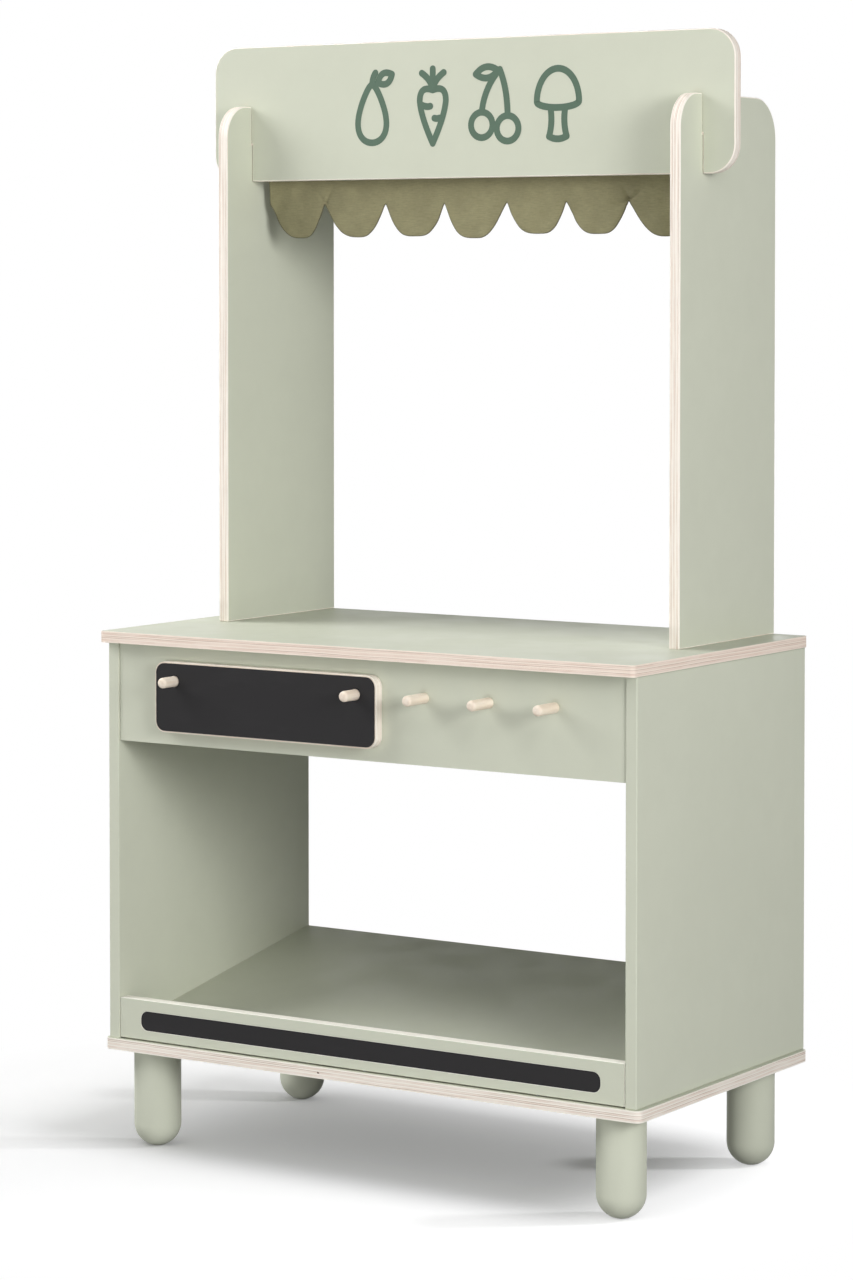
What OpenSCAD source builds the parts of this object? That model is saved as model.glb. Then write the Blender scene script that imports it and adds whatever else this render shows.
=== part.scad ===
// Toy market stall: a slanted display bay under a counter, with a header board on two uprights.
// Millimetres. +X is the right of someone facing the front, +Y is the back, +Z is up.
// The origin is on the floor, under the middle of the stall.

/* [Sheet material] */
// Thickness of the plywood panels
ply_t = 12; // [10:0.5:15]
// Thickness of the painted side panels
side_t = 13; // [12:0.5:18]
// Thickness of the front lip
lip_t = 13; // [12:0.5:18]

/* [Cabinet] */
// Outside width over the two side panels
cabinet_w = 644; // [600:2:720]
// Depth of a side panel
side_d = 350; // [320:2:420]
// Height of a side panel
side_h = 421; // [380:1:480]
// How far the counter oversails each side panel
counter_over_side = 3; // [1:0.5:20]
// How far the counter oversails the front edges of the side panels
counter_over_front = 12; // [6:0.5:20]
// Corner radius of the counter
counter_r = 5; // [2:0.5:15]
// How far the base plate stands out past each side panel
base_over_side = 5; // [1:0.5:20]
// How far the base plate stands out past the front edges of the side panels
base_over_front = 3; // [1:0.5:15]
// Corner radius of the base plate
base_r = 8; // [2:0.5:20]

/* [Fascia and pegs] */
// Height of the front fascia
fascia_h = 104; // [90:1:140]
// How far the fascia stands back from the front edges of the side panels
fascia_set_back = 2; // [0:0.5:12]
// Diameter of a peg
peg_d = 11; // [10:0.5:18]
// How far a peg stands out of the fascia
peg_out = 35; // [30:1:60]
// Radius of the rounding on the tip of a peg
peg_tip_r = 3.5; // [1:0.5:4]
// Distance between neighbouring places for pegs
peg_pitch = 76; // [70:1:85]
// Height of the underside of the counter above the row of pegs
peg_drop = 36; // [30:1:50]
// Diameter of the tenon behind a peg
peg_tenon_d = 8; // [6:0.5:9]
// Length of the tenon behind a peg
peg_tenon_l = 9; // [6:0.5:9.5]

/* [Chalkboard] */
// Thickness of the hung chalkboard
board_t = 12; // [9:0.5:15]
// Distance from a hanging hole to the near end of the chalkboard
board_end_margin = 25; // [15:1:32]
// Distance from the hanging holes to the top edge of the chalkboard
board_top_margin = 20; // [14:1:28]
// Distance from the hanging holes to the bottom edge of the chalkboard
board_bottom_margin = 54; // [30:1:60]
// Corner radius of the chalkboard
board_r = 12; // [4:1:14]
// Thickness of the black writing face
chalk_t = 0.8; // [0.5:0.1:1.5]
// Width of the bare border around the black writing face
chalk_border = 1.5; // [0.5:0.1:4]
// Gap between a hanging hole and its peg, all round
board_hole_gap = 0.5; // [0.3:0.1:0.9]
// Gap between the chalkboard and the fascia
board_back_gap = 0.3; // [0.3:0.1:0.9]

/* [Display bay] */
// Height of the front lip
lip_h = 44; // [38:1:80]
// How far the lip stands back from the front edges of the side panels
lip_set_back = 1; // [0:0.5:6]
// Height of the black strip in the lip
strip_h = 20.5; // [12:0.5:26]
// Distance from each end of the black strip to the side panel
strip_end_margin = 28; // [15:1:60]
// Corner radius of the black strip
strip_r = 8.5; // [2:0.5:10]
// Slope of the display shelf, in degrees
shelf_slope = 10; // [6:0.5:14]
// Gap between the front of the shelf and the lip
shelf_front_gap = 0.3; // [0.2:0.1:0.9]
// How far the back of the shelf stays inside the back of the cabinet
shelf_rear_inset = 1; // [0:0.5:20]

/* [Uprights and header] */
// Height of an upright above the counter
upright_h = 558; // [460:1:640]
// Depth of an upright
upright_d = 203; // [190:1:260]
// Distance from an upright to the near end of the counter
upright_inset = 39.5; // [30:0.5:60]
// Radius of the front top corner of an upright
upright_front_r = 35; // [10:1:40]
// Radius of the back top corner of an upright
upright_rear_r = 42; // [10:1:60]
// How far the header stands back from the front edge of an upright
header_set_back = 45.5; // [40:0.5:70]
// Height of the header board
header_h = 146; // [120:1:180]
// How far the header stands out past each upright
header_over = 37.5; // [30:0.5:60]
// Corner radius of the header board
header_r = 29; // [8:1:30]
// Height over which the header and the uprights lap
header_lap = 81; // [60:1:100]
// Gap on each side of a board in its halving slot
lap_gap = 0.4; // [0.2:0.1:0.8]

/* [Valance] */
// Number of scallops
scallop_count = 7; // [5:1:9]
// Distance from each end of the valance to the upright
valance_end_gap = 9; // [6:0.5:20]
// Distance from the bottom of the header to the bottom of a scallop
valance_drop = 61; // [45:1:90]
// Distance from the bottom of the header to the notch between two scallops
notch_drop = 26; // [18:1:34]
// Height of the cloth heading on the back of the header
heading_h = 30; // [27:1:50]
// Thickness of the doubled cloth
cloth_t = 2.4; // [1.6:0.2:3.2]
// How far the two ends of the hem sweep back
end_sweep = 15; // [0:1:20]
// How far the middle of each scallop bellies out
scallop_belly = 1.6; // [0:0.2:2.5]
// Distance from the bottom of the header to the line on which the cloth bends
bend_drop = 3; // [3:0.5:6]
// Gap between the two stretches of cloth at that line
bend_gap = 0.4; // [0.3:0.1:0.9]
// Height of the hook tape and of the loop tape
tape_h = 20; // [12:1:22]
// Thickness of each tape
tape_t = 1.6; // [1:0.1:2]
// Distance from the bottom of the header to the tapes
tape_up = 5; // [3:0.5:8]
// Distance from each end of the valance to the tapes
tape_end_inset = 8; // [4:1:30]

/* [Legs] */
// Diameter of a leg
leg_d = 50; // [40:1:60]
// Height of a leg
leg_h = 104; // [80:1:140]
// Height cut off the round foot, which leaves a small flat to stand on
foot_cut = 1; // [0.5:0.5:3]
// Distance from the axis of a leg to the end of the base plate
leg_inset_side = 42; // [36:1:60]
// Distance from the axis of a front leg to the front of the base plate
leg_inset_front = 38; // [36:1:60]
// Distance from the axis of a rear leg to the back of the base plate
leg_inset_rear = 48; // [36:1:70]
// Diameter of a leg bolt
leg_bolt_d = 8; // [6:0.5:8]
// How far a leg bolt goes into its leg
leg_bolt_in = 40; // [25:1:50]
// Diameter of the barrel of a tee nut
tee_barrel_d = 10.5; // [10:0.5:14]
// Diameter of the flange of a tee nut
tee_flange_d = 20; // [16:0.5:24]
// Thickness of the flange of a tee nut
tee_flange_t = 1.5; // [1:0.1:2]

/* [Fasteners] */
// Diameter of a dowel
dowel_d = 6; // [5:0.5:7]
// How far a dowel goes into the face of a panel
dowel_face_in = 8; // [6:0.5:9]
// How far a dowel goes into the edge of a panel
dowel_edge_in = 21; // [15:1:24]
// Gap all round a dowel, bolt or screw in its hole
fastener_gap = 0.05; // [0.02:0.01:0.1]
// Diameter of a screw shank
screw_d = 4.5; // [3.5:0.5:5]
// Diameter of a screw head
screw_head_d = 9; // [8:0.5:10]
// Length of a screw
screw_l = 45; // [35:1:50]
// Diameter of a cam disc
cam_d = 12; // [10:0.5:15]
// Distance from the top of a side panel to the middle of a cam disc
cam_drop = 24; // [20:1:34]
// Thickness left behind a cam disc
cam_skin = 3.5; // [3:0.5:4]
// Diameter of a cam bolt
cam_bolt_d = 5; // [4:0.5:6]
// Distance from the ends of a side panel to the cam bolts
cam_inset = 45; // [35:1:60]
// Distance from the ends of a side panel to the dowels under the counter
dowel_inset = 95; // [80:1:120]
// Distance from the ends of a panel to the outer screws in its edge
screw_inset = 62; // [58:1:100]

/* [Hidden] */
$fn = 64;

// Depth that a cut runs past the face it opens
past = 1;

// Widths
inner_w = cabinet_w - 2 * side_t;
counter_w = cabinet_w + 2 * counter_over_side;
base_w = cabinet_w + 2 * base_over_side;
upright_span = counter_w - 2 * upright_inset;
upright_clear = upright_span - 2 * ply_t;
upright_mid_x = (upright_span - ply_t) / 2;
header_w = upright_span + 2 * header_over;
side_mid_x = (cabinet_w - side_t) / 2;
valance_w = upright_clear - 2 * valance_end_gap;
scallop_w = valance_w / scallop_count;
tape_w = valance_w - 2 * tape_end_inset;
strip_w = inner_w - 2 * strip_end_margin;

// Depths, with the back of the cabinet and the tips of the pegs equally far from the origin
counter_d = side_d + counter_over_front;
overall_d = max(counter_d, side_d - fascia_set_back + peg_out);
back_y = overall_d / 2;
side_front_y = back_y - side_d;
counter_front_y = back_y - counter_d;
base_front_y = side_front_y - base_over_front;
fascia_front_y = side_front_y + fascia_set_back;
fascia_mid_y = fascia_front_y + ply_t / 2;
lip_front_y = side_front_y + lip_set_back;
lip_mid_y = lip_front_y + lip_t / 2;
shelf_front_y = lip_front_y + lip_t + shelf_front_gap + ply_t * sin(shelf_slope);
shelf_l = (back_y - shelf_rear_inset - shelf_front_y) / cos(shelf_slope);
upright_front_y = back_y - upright_d;
header_front_y = upright_front_y + header_set_back;
header_back_y = header_front_y + ply_t;
board_back_y = fascia_front_y - board_back_gap;
board_front_y = board_back_y - board_t;
cloth_y = header_back_y + 2 * tape_t + cloth_t / 2;

// Heights
base_z = leg_h;
deck_z = base_z + ply_t;
counter_z = deck_z + side_h;
counter_top_z = counter_z + ply_t;
fascia_z = counter_z - fascia_h;
peg_z = counter_z - peg_drop;
upright_top_z = counter_top_z + upright_h;
header_z = upright_top_z - header_lap;
lap_z = header_z + header_lap / 2;
bend_z = header_z - bend_drop;
cam_z = counter_z - cam_drop;
strip_z = deck_z + (lip_h - strip_h) / 2;

// Places of what repeats
peg_places = [-3, 0, 1, 2, 3];
hung_pegs = [peg_places[0] * peg_pitch, peg_places[1] * peg_pitch];
board_mid_x = (hung_pegs[0] + hung_pegs[1]) / 2;
board_w = hung_pegs[1] - hung_pegs[0] + 2 * board_end_margin;
board_h = board_top_margin + board_bottom_margin;
board_z = peg_z - board_bottom_margin;
leg_x = base_w / 2 - leg_inset_side;
leg_front_y = base_front_y + leg_inset_front;
leg_rear_y = back_y - leg_inset_rear;
leg_places = [for (x = [-leg_x, leg_x], y = [leg_front_y, leg_rear_y]) [x, y]];
cam_ys = [side_front_y + cam_inset, back_y - cam_inset];
dowel_ys = [side_front_y + dowel_inset, back_y - dowel_inset];
side_screw_ys = [side_front_y + screw_inset, back_y - side_d / 2, back_y - screw_inset];
lip_screw_xs = [for (k = [-1, 0, 1]) k * inner_w / 3];
fascia_dowel_xs = [for (k = [-1, 0, 1]) k * inner_w / 3];
fascia_dowel_zs = [fascia_z + fascia_h / 4, fascia_z + fascia_h * 3 / 4];
shelf_dowel_places = [shelf_l / 4, shelf_l * 3 / 4];
upright_screw_ys = [upright_front_y + upright_d / 5, back_y - upright_d / 5];
upright_dowel_ys = [upright_front_y + upright_d * 2 / 5, back_y - upright_d * 2 / 5];

// Proportions of small hardware
screw_head_h = (screw_head_d - screw_d) / 2;
screw_point_h = screw_d;
recess_w = screw_head_d / 8;
recess_l = screw_head_d / 2;
recess_depth = screw_head_h / 2;
cam_t = side_t - cam_skin;
cam_slot_w = cam_d / 10;
cam_slot_depth = cam_t / 6;
bolt_top_gap = 0.5;

// Colours
sage = "#c3c8b3";
birch = "#e9dacb";
slate = "#333132";
olive = "#8a8460";
steel = "#c3c5c8";

// Outline of a panel with its own radius at each corner: bottom left, bottom right, top right, top left
module outline(w, h, radii) {
    corners = [[0, 0], [1, 0], [1, 1], [0, 1]];
    difference() {
        square([w, h]);
        for (k = [0:3])
            if (radii[k] > 0)
                translate([corners[k].x * (w - radii[k]), corners[k].y * (h - radii[k])])
                    square(radii[k]);
    }
    for (k = [0:3])
        if (radii[k] > 0)
            intersection() {
                translate([corners[k].x * (w - radii[k]), corners[k].y * (h - radii[k])])
                    square(radii[k]);
                translate([corners[k].x == 0 ? radii[k] : w - radii[k],
                           corners[k].y == 0 ? radii[k] : h - radii[k]])
                    circle(r = radii[k]);
            }
}

// Panel that lies flat, with its middle at x = 0
module flat_panel(w, d, t, y, z, radii) {
    translate([-w / 2, y, z])
        linear_extrude(t)
            outline(w, d, radii);
}

// Panel that faces the front, with its front face at y
module facing_panel(x, w, h, t, y, z, radii) {
    translate([x - w / 2, y + t, z])
        rotate([90, 0, 0])
            linear_extrude(t)
                outline(w, h, radii);
}

// Panel that stands from front to back, with its left face at x
module standing_panel(x, d, h, t, y, z, radii) {
    translate([x, y, z])
        rotate([90, 0, 90])
            linear_extrude(t)
                outline(d, h, radii);
}

// Round bar from a point, along x, y or z
module bar(start, l, d, along) {
    turn = along == "x" ? [0, 90, 0] : along == "y" ? [-90, 0, 0] : [0, 0, 0];
    translate(start)
        rotate(turn)
            cylinder(h = l, d = d);
}

// Upright dowel from the edge of a lower panel into the face of the panel above, at height z
module rising_dowel(x, y, z, gap) {
    bar([x, y, z - dowel_edge_in - gap], dowel_edge_in + dowel_face_in + 2 * gap, dowel_d + 2 * gap, "z");
}

// Level dowel from the edge of a panel into the inner face of a side panel, on side -1 or 1
module level_dowel(hand, y, z, gap) {
    l = dowel_edge_in + dowel_face_in + 2 * gap;
    from_middle = inner_w / 2 - dowel_edge_in - gap;
    bar([hand > 0 ? from_middle : -from_middle - l, y, z], l, dowel_d + 2 * gap, "x");
}

// Countersunk screw that points up, with its head flush at z = 0
module screw_solid(gap) {
    cylinder(h = screw_head_h, d1 = screw_head_d + 2 * gap, d2 = screw_d + 2 * gap);
    cylinder(h = screw_l - screw_point_h, d = screw_d + 2 * gap);
    translate([0, 0, screw_l - screw_point_h])
        cylinder(h = screw_point_h + gap, d1 = screw_d + 2 * gap, d2 = screw_d / 4);
}

// The same screw with a cross in its head
module screw() {
    difference() {
        screw_solid(0);
        for (turn = [0, 90])
            rotate([0, 0, turn])
                translate([-recess_l / 2, -recess_w / 2, -past])
                    cube([recess_l, recess_w, recess_depth + past]);
    }
}

// Runs what follows in the plane of the shelf, from the bottom of its front edge
module on_shelf() {
    translate([0, shelf_front_y, deck_z])
        rotate([shelf_slope, 0, 0])
            children();
}

// Sets of fasteners, drawn bare or, with a gap, as the holes for them
module carcass_dowel_set(gap) {
    for (hand = [-1, 1], y = dowel_ys)
        rising_dowel(hand * side_mid_x, y, counter_z, gap);
}

module fascia_dowel_set(gap) {
    for (x = fascia_dowel_xs)
        rising_dowel(x, fascia_mid_y, counter_z, gap);
    for (hand = [-1, 1], z = fascia_dowel_zs)
        level_dowel(hand, fascia_mid_y, z, gap);
}

module lip_dowel_set(gap) {
    for (hand = [-1, 1])
        level_dowel(hand, lip_mid_y, deck_z + lip_h / 2, gap);
}

module shelf_dowel_set(gap) {
    on_shelf()
        for (hand = [-1, 1], place = shelf_dowel_places)
            level_dowel(hand, place, ply_t / 2, gap);
}

module upright_dowel_set(gap) {
    l = dowel_edge_in + dowel_face_in + 2 * gap;
    for (hand = [-1, 1], y = upright_dowel_ys)
        bar([hand * upright_mid_x, y, counter_top_z - dowel_face_in - gap], l, dowel_d + 2 * gap, "z");
}

module at_base_screws() {
    for (hand = [-1, 1], y = side_screw_ys)
        translate([hand * side_mid_x, y, base_z])
            children();
    for (x = lip_screw_xs)
        translate([x, lip_mid_y, base_z])
            children();
}

module at_upright_screws() {
    for (hand = [-1, 1], y = upright_screw_ys)
        translate([hand * upright_mid_x, y, counter_z])
            children();
}

module cam_bolt_set(gap) {
    l = cam_drop + dowel_face_in + gap;
    for (hand = [-1, 1], y = cam_ys)
        bar([hand * side_mid_x, y, cam_z], l, cam_bolt_d + 2 * gap, "z");
}

module cam_disc_set(gap) {
    for (hand = [-1, 1], y = cam_ys) {
        inner_x = inner_w / 2;
        start_x = hand > 0 ? inner_x : -inner_x - cam_t - gap;
        bar([start_x, y, cam_z], cam_t + gap, cam_d + 2 * gap, "x");
    }
}

module leg_bolt_set(gap) {
    for (place = leg_places)
        bar([place.x, place.y, base_z - leg_bolt_in - gap],
            leg_bolt_in + ply_t - bolt_top_gap + gap, leg_bolt_d + 2 * gap, "z");
}

module tee_nut_set(gap) {
    for (place = leg_places) {
        bar([place.x, place.y, base_z], ply_t, tee_barrel_d + 2 * gap, "z");
        bar([place.x, place.y, deck_z - tee_flange_t - gap], tee_flange_t + gap, tee_flange_d + 2 * gap, "z");
    }
}

// Cabinet
module base_plate() {
    color(sage)
        difference() {
            flat_panel(base_w, back_y - base_front_y, ply_t, base_front_y, base_z,
                       [base_r, base_r, base_r, base_r]);
            tee_nut_set(fastener_gap);
            at_base_screws()
                screw_solid(fastener_gap);
        }
}

module side(hand) {
    color(sage)
        difference() {
            standing_panel(hand > 0 ? inner_w / 2 : -cabinet_w / 2, side_d, side_h, side_t,
                           side_front_y, deck_z, [0, 0, 0, 0]);
            carcass_dowel_set(fastener_gap);
            fascia_dowel_set(fastener_gap);
            lip_dowel_set(fastener_gap);
            shelf_dowel_set(fastener_gap);
            cam_bolt_set(fastener_gap);
            cam_disc_set(fastener_gap);
            at_base_screws()
                screw_solid(fastener_gap);
        }
}

module counter_top() {
    color(sage)
        difference() {
            flat_panel(counter_w, counter_d, ply_t, counter_front_y, counter_z,
                       [counter_r, counter_r, counter_r, counter_r]);
            carcass_dowel_set(fastener_gap);
            fascia_dowel_set(fastener_gap);
            upright_dowel_set(fastener_gap);
            cam_bolt_set(fastener_gap);
            at_upright_screws()
                screw_solid(fastener_gap);
        }
}

module front_fascia() {
    color(sage)
        difference() {
            facing_panel(0, inner_w, fascia_h, ply_t, fascia_front_y, fascia_z, [0, 0, 0, 0]);
            fascia_dowel_set(fastener_gap);
            for (place = peg_places)
                bar([place * peg_pitch, fascia_front_y - past, peg_z],
                    peg_tenon_l + fastener_gap + past, peg_tenon_d + 2 * fastener_gap, "y");
        }
}

module peg(place) {
    color(birch)
        translate([place * peg_pitch, fascia_front_y, peg_z])
            rotate([90, 0, 0]) {
                rotate_extrude()
                    outline_of_peg();
                translate([0, 0, -peg_tenon_l])
                    cylinder(h = peg_tenon_l, d = peg_tenon_d);
            }
}

// Half section of the part of a peg that stands out, with its tip rounded
module outline_of_peg() {
    square([peg_d / 2, peg_out - peg_tip_r]);
    square([peg_d / 2 - peg_tip_r, peg_out]);
    intersection() {
        translate([peg_d / 2 - peg_tip_r, peg_out - peg_tip_r])
            circle(r = peg_tip_r);
        translate([peg_d / 2 - peg_tip_r, peg_out - peg_tip_r])
            square(peg_tip_r);
    }
}

module front_lip() {
    color(sage)
        difference() {
            facing_panel(0, inner_w, lip_h, lip_t, lip_front_y, deck_z, [0, 0, 0, 0]);
            lip_dowel_set(fastener_gap);
            at_base_screws()
                screw_solid(fastener_gap);
            translate([0, -past, 0])
                chalk_strip_solid(chalk_t + past);
        }
}

// Black strip of a given depth, from the front of the lip
module chalk_strip_solid(depth) {
    facing_panel(0, strip_w, strip_h, depth, lip_front_y, strip_z, [strip_r, strip_r, strip_r, strip_r]);
}

module lip_chalk_strip() {
    color(slate)
        chalk_strip_solid(chalk_t);
}

module display_shelf() {
    color(sage)
        difference() {
            on_shelf()
                translate([-inner_w / 2, 0, 0])
                    cube([inner_w, shelf_l, ply_t]);
            shelf_dowel_set(fastener_gap);
        }
}

// Chalkboard
module board_holes() {
    for (x = hung_pegs)
        bar([x, board_front_y - past, peg_z], board_t + 2 * past, peg_d + 2 * board_hole_gap, "y");
}

module chalkboard_panel() {
    color(birch)
        difference() {
            facing_panel(board_mid_x, board_w, board_h, board_t - chalk_t, board_front_y + chalk_t, board_z,
                         [board_r, board_r, board_r, board_r]);
            board_holes();
        }
}

module chalkboard_face() {
    face_r = board_r - chalk_border;
    color(slate)
        difference() {
            facing_panel(board_mid_x, board_w - 2 * chalk_border, board_h - 2 * chalk_border, chalk_t,
                         board_front_y, board_z + chalk_border, [face_r, face_r, face_r, face_r]);
            board_holes();
        }
}

// Uprights and header
module upright(hand) {
    left_x = hand > 0 ? upright_span / 2 - ply_t : -upright_span / 2;
    color(sage)
        difference() {
            standing_panel(left_x, upright_d, upright_h, ply_t, upright_front_y, counter_top_z,
                           [0, 0, upright_rear_r, upright_front_r]);
            translate([left_x - past, header_front_y - lap_gap, lap_z])
                cube([ply_t + 2 * past, ply_t + 2 * lap_gap, header_lap / 2 + past]);
            upright_dowel_set(fastener_gap);
            at_upright_screws()
                screw_solid(fastener_gap);
        }
}

module header_board() {
    slot_w = ply_t + 2 * lap_gap;
    color(sage)
        difference() {
            facing_panel(0, header_w, header_h, ply_t, header_front_y, header_z,
                         [header_r, header_r, header_r, header_r]);
            for (hand = [-1, 1])
                translate([hand * upright_mid_x - slot_w / 2, header_front_y - past, header_z - past])
                    cube([slot_w, ply_t + 2 * past, header_lap / 2 + past]);
        }
}

// Valance
module tape(y) {
    facing_panel(0, tape_w, tape_h, tape_t, y, header_z + tape_up, [0, 0, 0, 0]);
}

module hook_tape() {
    color(slate)
        tape(header_back_y);
}

module loop_tape() {
    color(olive)
        tape(header_back_y + tape_t);
}

module valance_heading() {
    heading_z = bend_z + cloth_t / 2 + bend_gap;
    color(olive)
        facing_panel(0, valance_w, header_z + heading_h - heading_z, cloth_t,
                     cloth_y - cloth_t / 2, heading_z, [0, 0, 0, 0]);
}

// Cloth below the bend: ten columns to a scallop, and each column is a ring of points that climbs the
// front from the hem, rolls over at the bend and comes down the back
cloth_steps = 10;
cloth_rows = 6;
roll_steps = 3;
cloth_cols = scallop_count * cloth_steps;
ring_n = 2 * (cloth_rows + 1) + roll_steps - 1;
// Width at each end that sweeps back, in scallops, and how late the sweep sets in
swept_scallops = 1.25;
swept_w = scallop_w * swept_scallops;
sweep_power = 1.5;
// Powers that set how full and how pointed the hem of a scallop is
hem_fullness = 2.2;
hem_point = 0.7;

function place_in_scallop(i) = (i % cloth_steps) / cloth_steps - 0.5;
function cloth_x(i) = -valance_w / 2 + i * scallop_w / cloth_steps;
function hem_drop(i) =
    notch_drop + (valance_drop - notch_drop)
        * pow(1 - pow(abs(2 * place_in_scallop(i)), hem_fullness), hem_point);
function swept(i) = max(0, abs(cloth_x(i)) - valance_w / 2 + swept_w) / swept_w;
function fold(i) = end_sweep * pow(swept(i), sweep_power) - scallop_belly * cos(180 * place_in_scallop(i));
function hanging_point(i, down, face) =
    [cloth_x(i), cloth_y + fold(i) * down + face * cloth_t / 2, bend_z - (hem_drop(i) - bend_drop) * down];
function rolled_point(i, turn) =
    [cloth_x(i), cloth_y - cos(turn) * cloth_t / 2, bend_z + sin(turn) * cloth_t / 2];
function ring(i) = concat(
    [for (j = [cloth_rows:-1:0]) hanging_point(i, j / cloth_rows, -1)],
    [for (j = [1:roll_steps - 1]) rolled_point(i, 180 * j / roll_steps)],
    [for (j = [0:cloth_rows]) hanging_point(i, j / cloth_rows, 1)]);

function two_triangles(a, b, c, d) = [[a, b, c], [a, c, d]];
function at(i, k) = i * ring_n + k % ring_n;
function skin(i, k) = two_triangles(at(i, k), at(i, k + 1), at(i + 1, k + 1), at(i + 1, k));
function left_end(k) = two_triangles(at(0, k), at(0, ring_n - 1 - k), at(0, ring_n - 2 - k), at(0, k + 1));
function right_end(k) = two_triangles(at(cloth_cols, k), at(cloth_cols, k + 1),
                                      at(cloth_cols, ring_n - 2 - k), at(cloth_cols, ring_n - 1 - k));

module valance_skirt() {
    points = [for (i = [0:cloth_cols]) each ring(i)];
    last_pair = ring_n / 2 - 2;
    faces = concat(
        [for (i = [0:cloth_cols - 1], k = [0:ring_n - 1]) each skin(i, k)],
        [for (k = [0:last_pair]) each left_end(k)],
        [for (k = [0:last_pair]) each right_end(k)]);
    color(olive)
        polyhedron(points, faces);
}

// Legs
module leg(place) {
    foot_z = leg_d / 2 - foot_cut;
    color(sage)
        difference() {
            translate([place.x, place.y, 0])
                rotate_extrude() {
                    translate([0, foot_z])
                        square([leg_d / 2, leg_h - foot_z]);
                    intersection() {
                        translate([0, foot_z])
                            circle(d = leg_d);
                        square([leg_d / 2, foot_z]);
                    }
                }
            leg_bolt_set(fastener_gap);
        }
}

// Hardware
module leg_bolts() {
    color(steel)
        leg_bolt_set(0);
}

module leg_tee_nuts() {
    color(steel)
        difference() {
            tee_nut_set(0);
            for (place = leg_places)
                bar([place.x, place.y, base_z - past], ply_t + 2 * past, leg_bolt_d + 2 * fastener_gap, "z");
        }
}

module carcass_dowels() {
    color(birch)
        carcass_dowel_set(0);
}

module fascia_dowels() {
    color(birch)
        fascia_dowel_set(0);
}

module lip_dowels() {
    color(birch)
        lip_dowel_set(0);
}

module shelf_dowels() {
    color(birch)
        shelf_dowel_set(0);
}

module upright_dowels() {
    color(birch)
        upright_dowel_set(0);
}

module base_screws() {
    color(steel)
        at_base_screws()
            screw();
}

module upright_screws() {
    color(steel)
        at_upright_screws()
            screw();
}

module cam_bolts() {
    color(steel)
        cam_bolt_set(0);
}

module cam_discs() {
    slot_l = cam_d * 2 / 3;
    color(steel)
        difference() {
            cam_disc_set(0);
            cam_bolt_set(fastener_gap);
            for (hand = [-1, 1], y = cam_ys, turn = [0, 90])
                translate([hand * inner_w / 2, y, cam_z])
                    rotate([turn, 0, 0])
                        cube([2 * cam_slot_depth, slot_l, cam_slot_w], center = true);
        }
}

base_plate();
side(-1);  // left_side
side(1);  // right_side
counter_top();
front_fascia();
front_lip();
lip_chalk_strip();
display_shelf();
chalkboard_panel();
chalkboard_face();
peg(peg_places[0]);  // peg_1
peg(peg_places[1]);  // peg_2
peg(peg_places[2]);  // peg_3
peg(peg_places[3]);  // peg_4
peg(peg_places[4]);  // peg_5
upright(-1);  // left_upright
upright(1);  // right_upright
header_board();
hook_tape();
loop_tape();
valance_heading();
valance_skirt();
leg(leg_places[0]);  // leg_front_left
leg(leg_places[2]);  // leg_front_right
leg(leg_places[1]);  // leg_rear_left
leg(leg_places[3]);  // leg_rear_right
leg_bolts();
leg_tee_nuts();
carcass_dowels();
fascia_dowels();
lip_dowels();
shelf_dowels();
upright_dowels();
base_screws();
upright_screws();
cam_bolts();
cam_discs();
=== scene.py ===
# Looks of the toy market stall: plywood panels with painted faces and clear edges, turned legs and pegs,
# chalk surfaces, small hardware and a scalloped cotton valance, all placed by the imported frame.
# Metres. +X is the right of someone facing the front, +Y is the back, +Z is up.

import math

import bmesh
import bpy
import numpy as np
from mathutils import Matrix, Vector, noise


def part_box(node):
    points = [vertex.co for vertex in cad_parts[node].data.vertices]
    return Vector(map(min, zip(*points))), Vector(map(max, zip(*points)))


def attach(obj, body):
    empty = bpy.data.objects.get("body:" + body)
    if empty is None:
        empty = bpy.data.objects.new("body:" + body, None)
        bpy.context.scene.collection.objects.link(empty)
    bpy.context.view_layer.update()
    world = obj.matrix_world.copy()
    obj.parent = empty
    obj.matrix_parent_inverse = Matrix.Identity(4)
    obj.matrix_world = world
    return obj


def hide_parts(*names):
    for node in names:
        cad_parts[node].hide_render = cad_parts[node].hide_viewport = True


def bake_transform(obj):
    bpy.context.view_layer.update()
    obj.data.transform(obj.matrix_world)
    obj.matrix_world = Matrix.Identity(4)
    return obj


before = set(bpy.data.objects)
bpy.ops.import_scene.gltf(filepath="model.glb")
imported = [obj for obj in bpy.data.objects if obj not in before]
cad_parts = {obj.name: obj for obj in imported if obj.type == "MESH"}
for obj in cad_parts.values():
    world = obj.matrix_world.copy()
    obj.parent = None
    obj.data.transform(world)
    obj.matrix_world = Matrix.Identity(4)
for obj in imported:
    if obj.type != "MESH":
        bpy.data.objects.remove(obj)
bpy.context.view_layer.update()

MM = 0.001

# Eased edges, and the share of its normal along the thickness from which a face counts as flat
PLY_EASE = 1.2 * MM
INNER_EASE = 0.7 * MM
SIDE_EASE = 1.3 * MM
CHALK_EASE = 0.25 * MM
EASE_STEPS = 3
EASE_ANGLE = math.radians(35)
FLAT_SHARE = 0.999
ARC_STEPS = 14

# Degrees past which an edge stays crisp
CRISP_HARDWARE = 30
CRISP_TURNED = 40
CRISP_CLOTH = 60

# Corner radii of the panels
COUNTER_R = 5 * MM
BASE_R = 8 * MM
BOARD_R = 12 * MM
STRIP_R = 8.5 * MM
HEADER_R = 29 * MM
UPRIGHT_FRONT_R = 35 * MM
UPRIGHT_REAR_R = 42 * MM

# Halving joints between the header and the uprights
LAP_GAP = 0.4 * MM

# Open seams at the ends of the fascia and the lip, and under the lip
SEAM_SIDE = 0.6 * MM
SEAM_UNDER = 1.8 * MM

# Slope of the display shelf
SHELF_SLOPE = math.radians(10)

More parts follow.
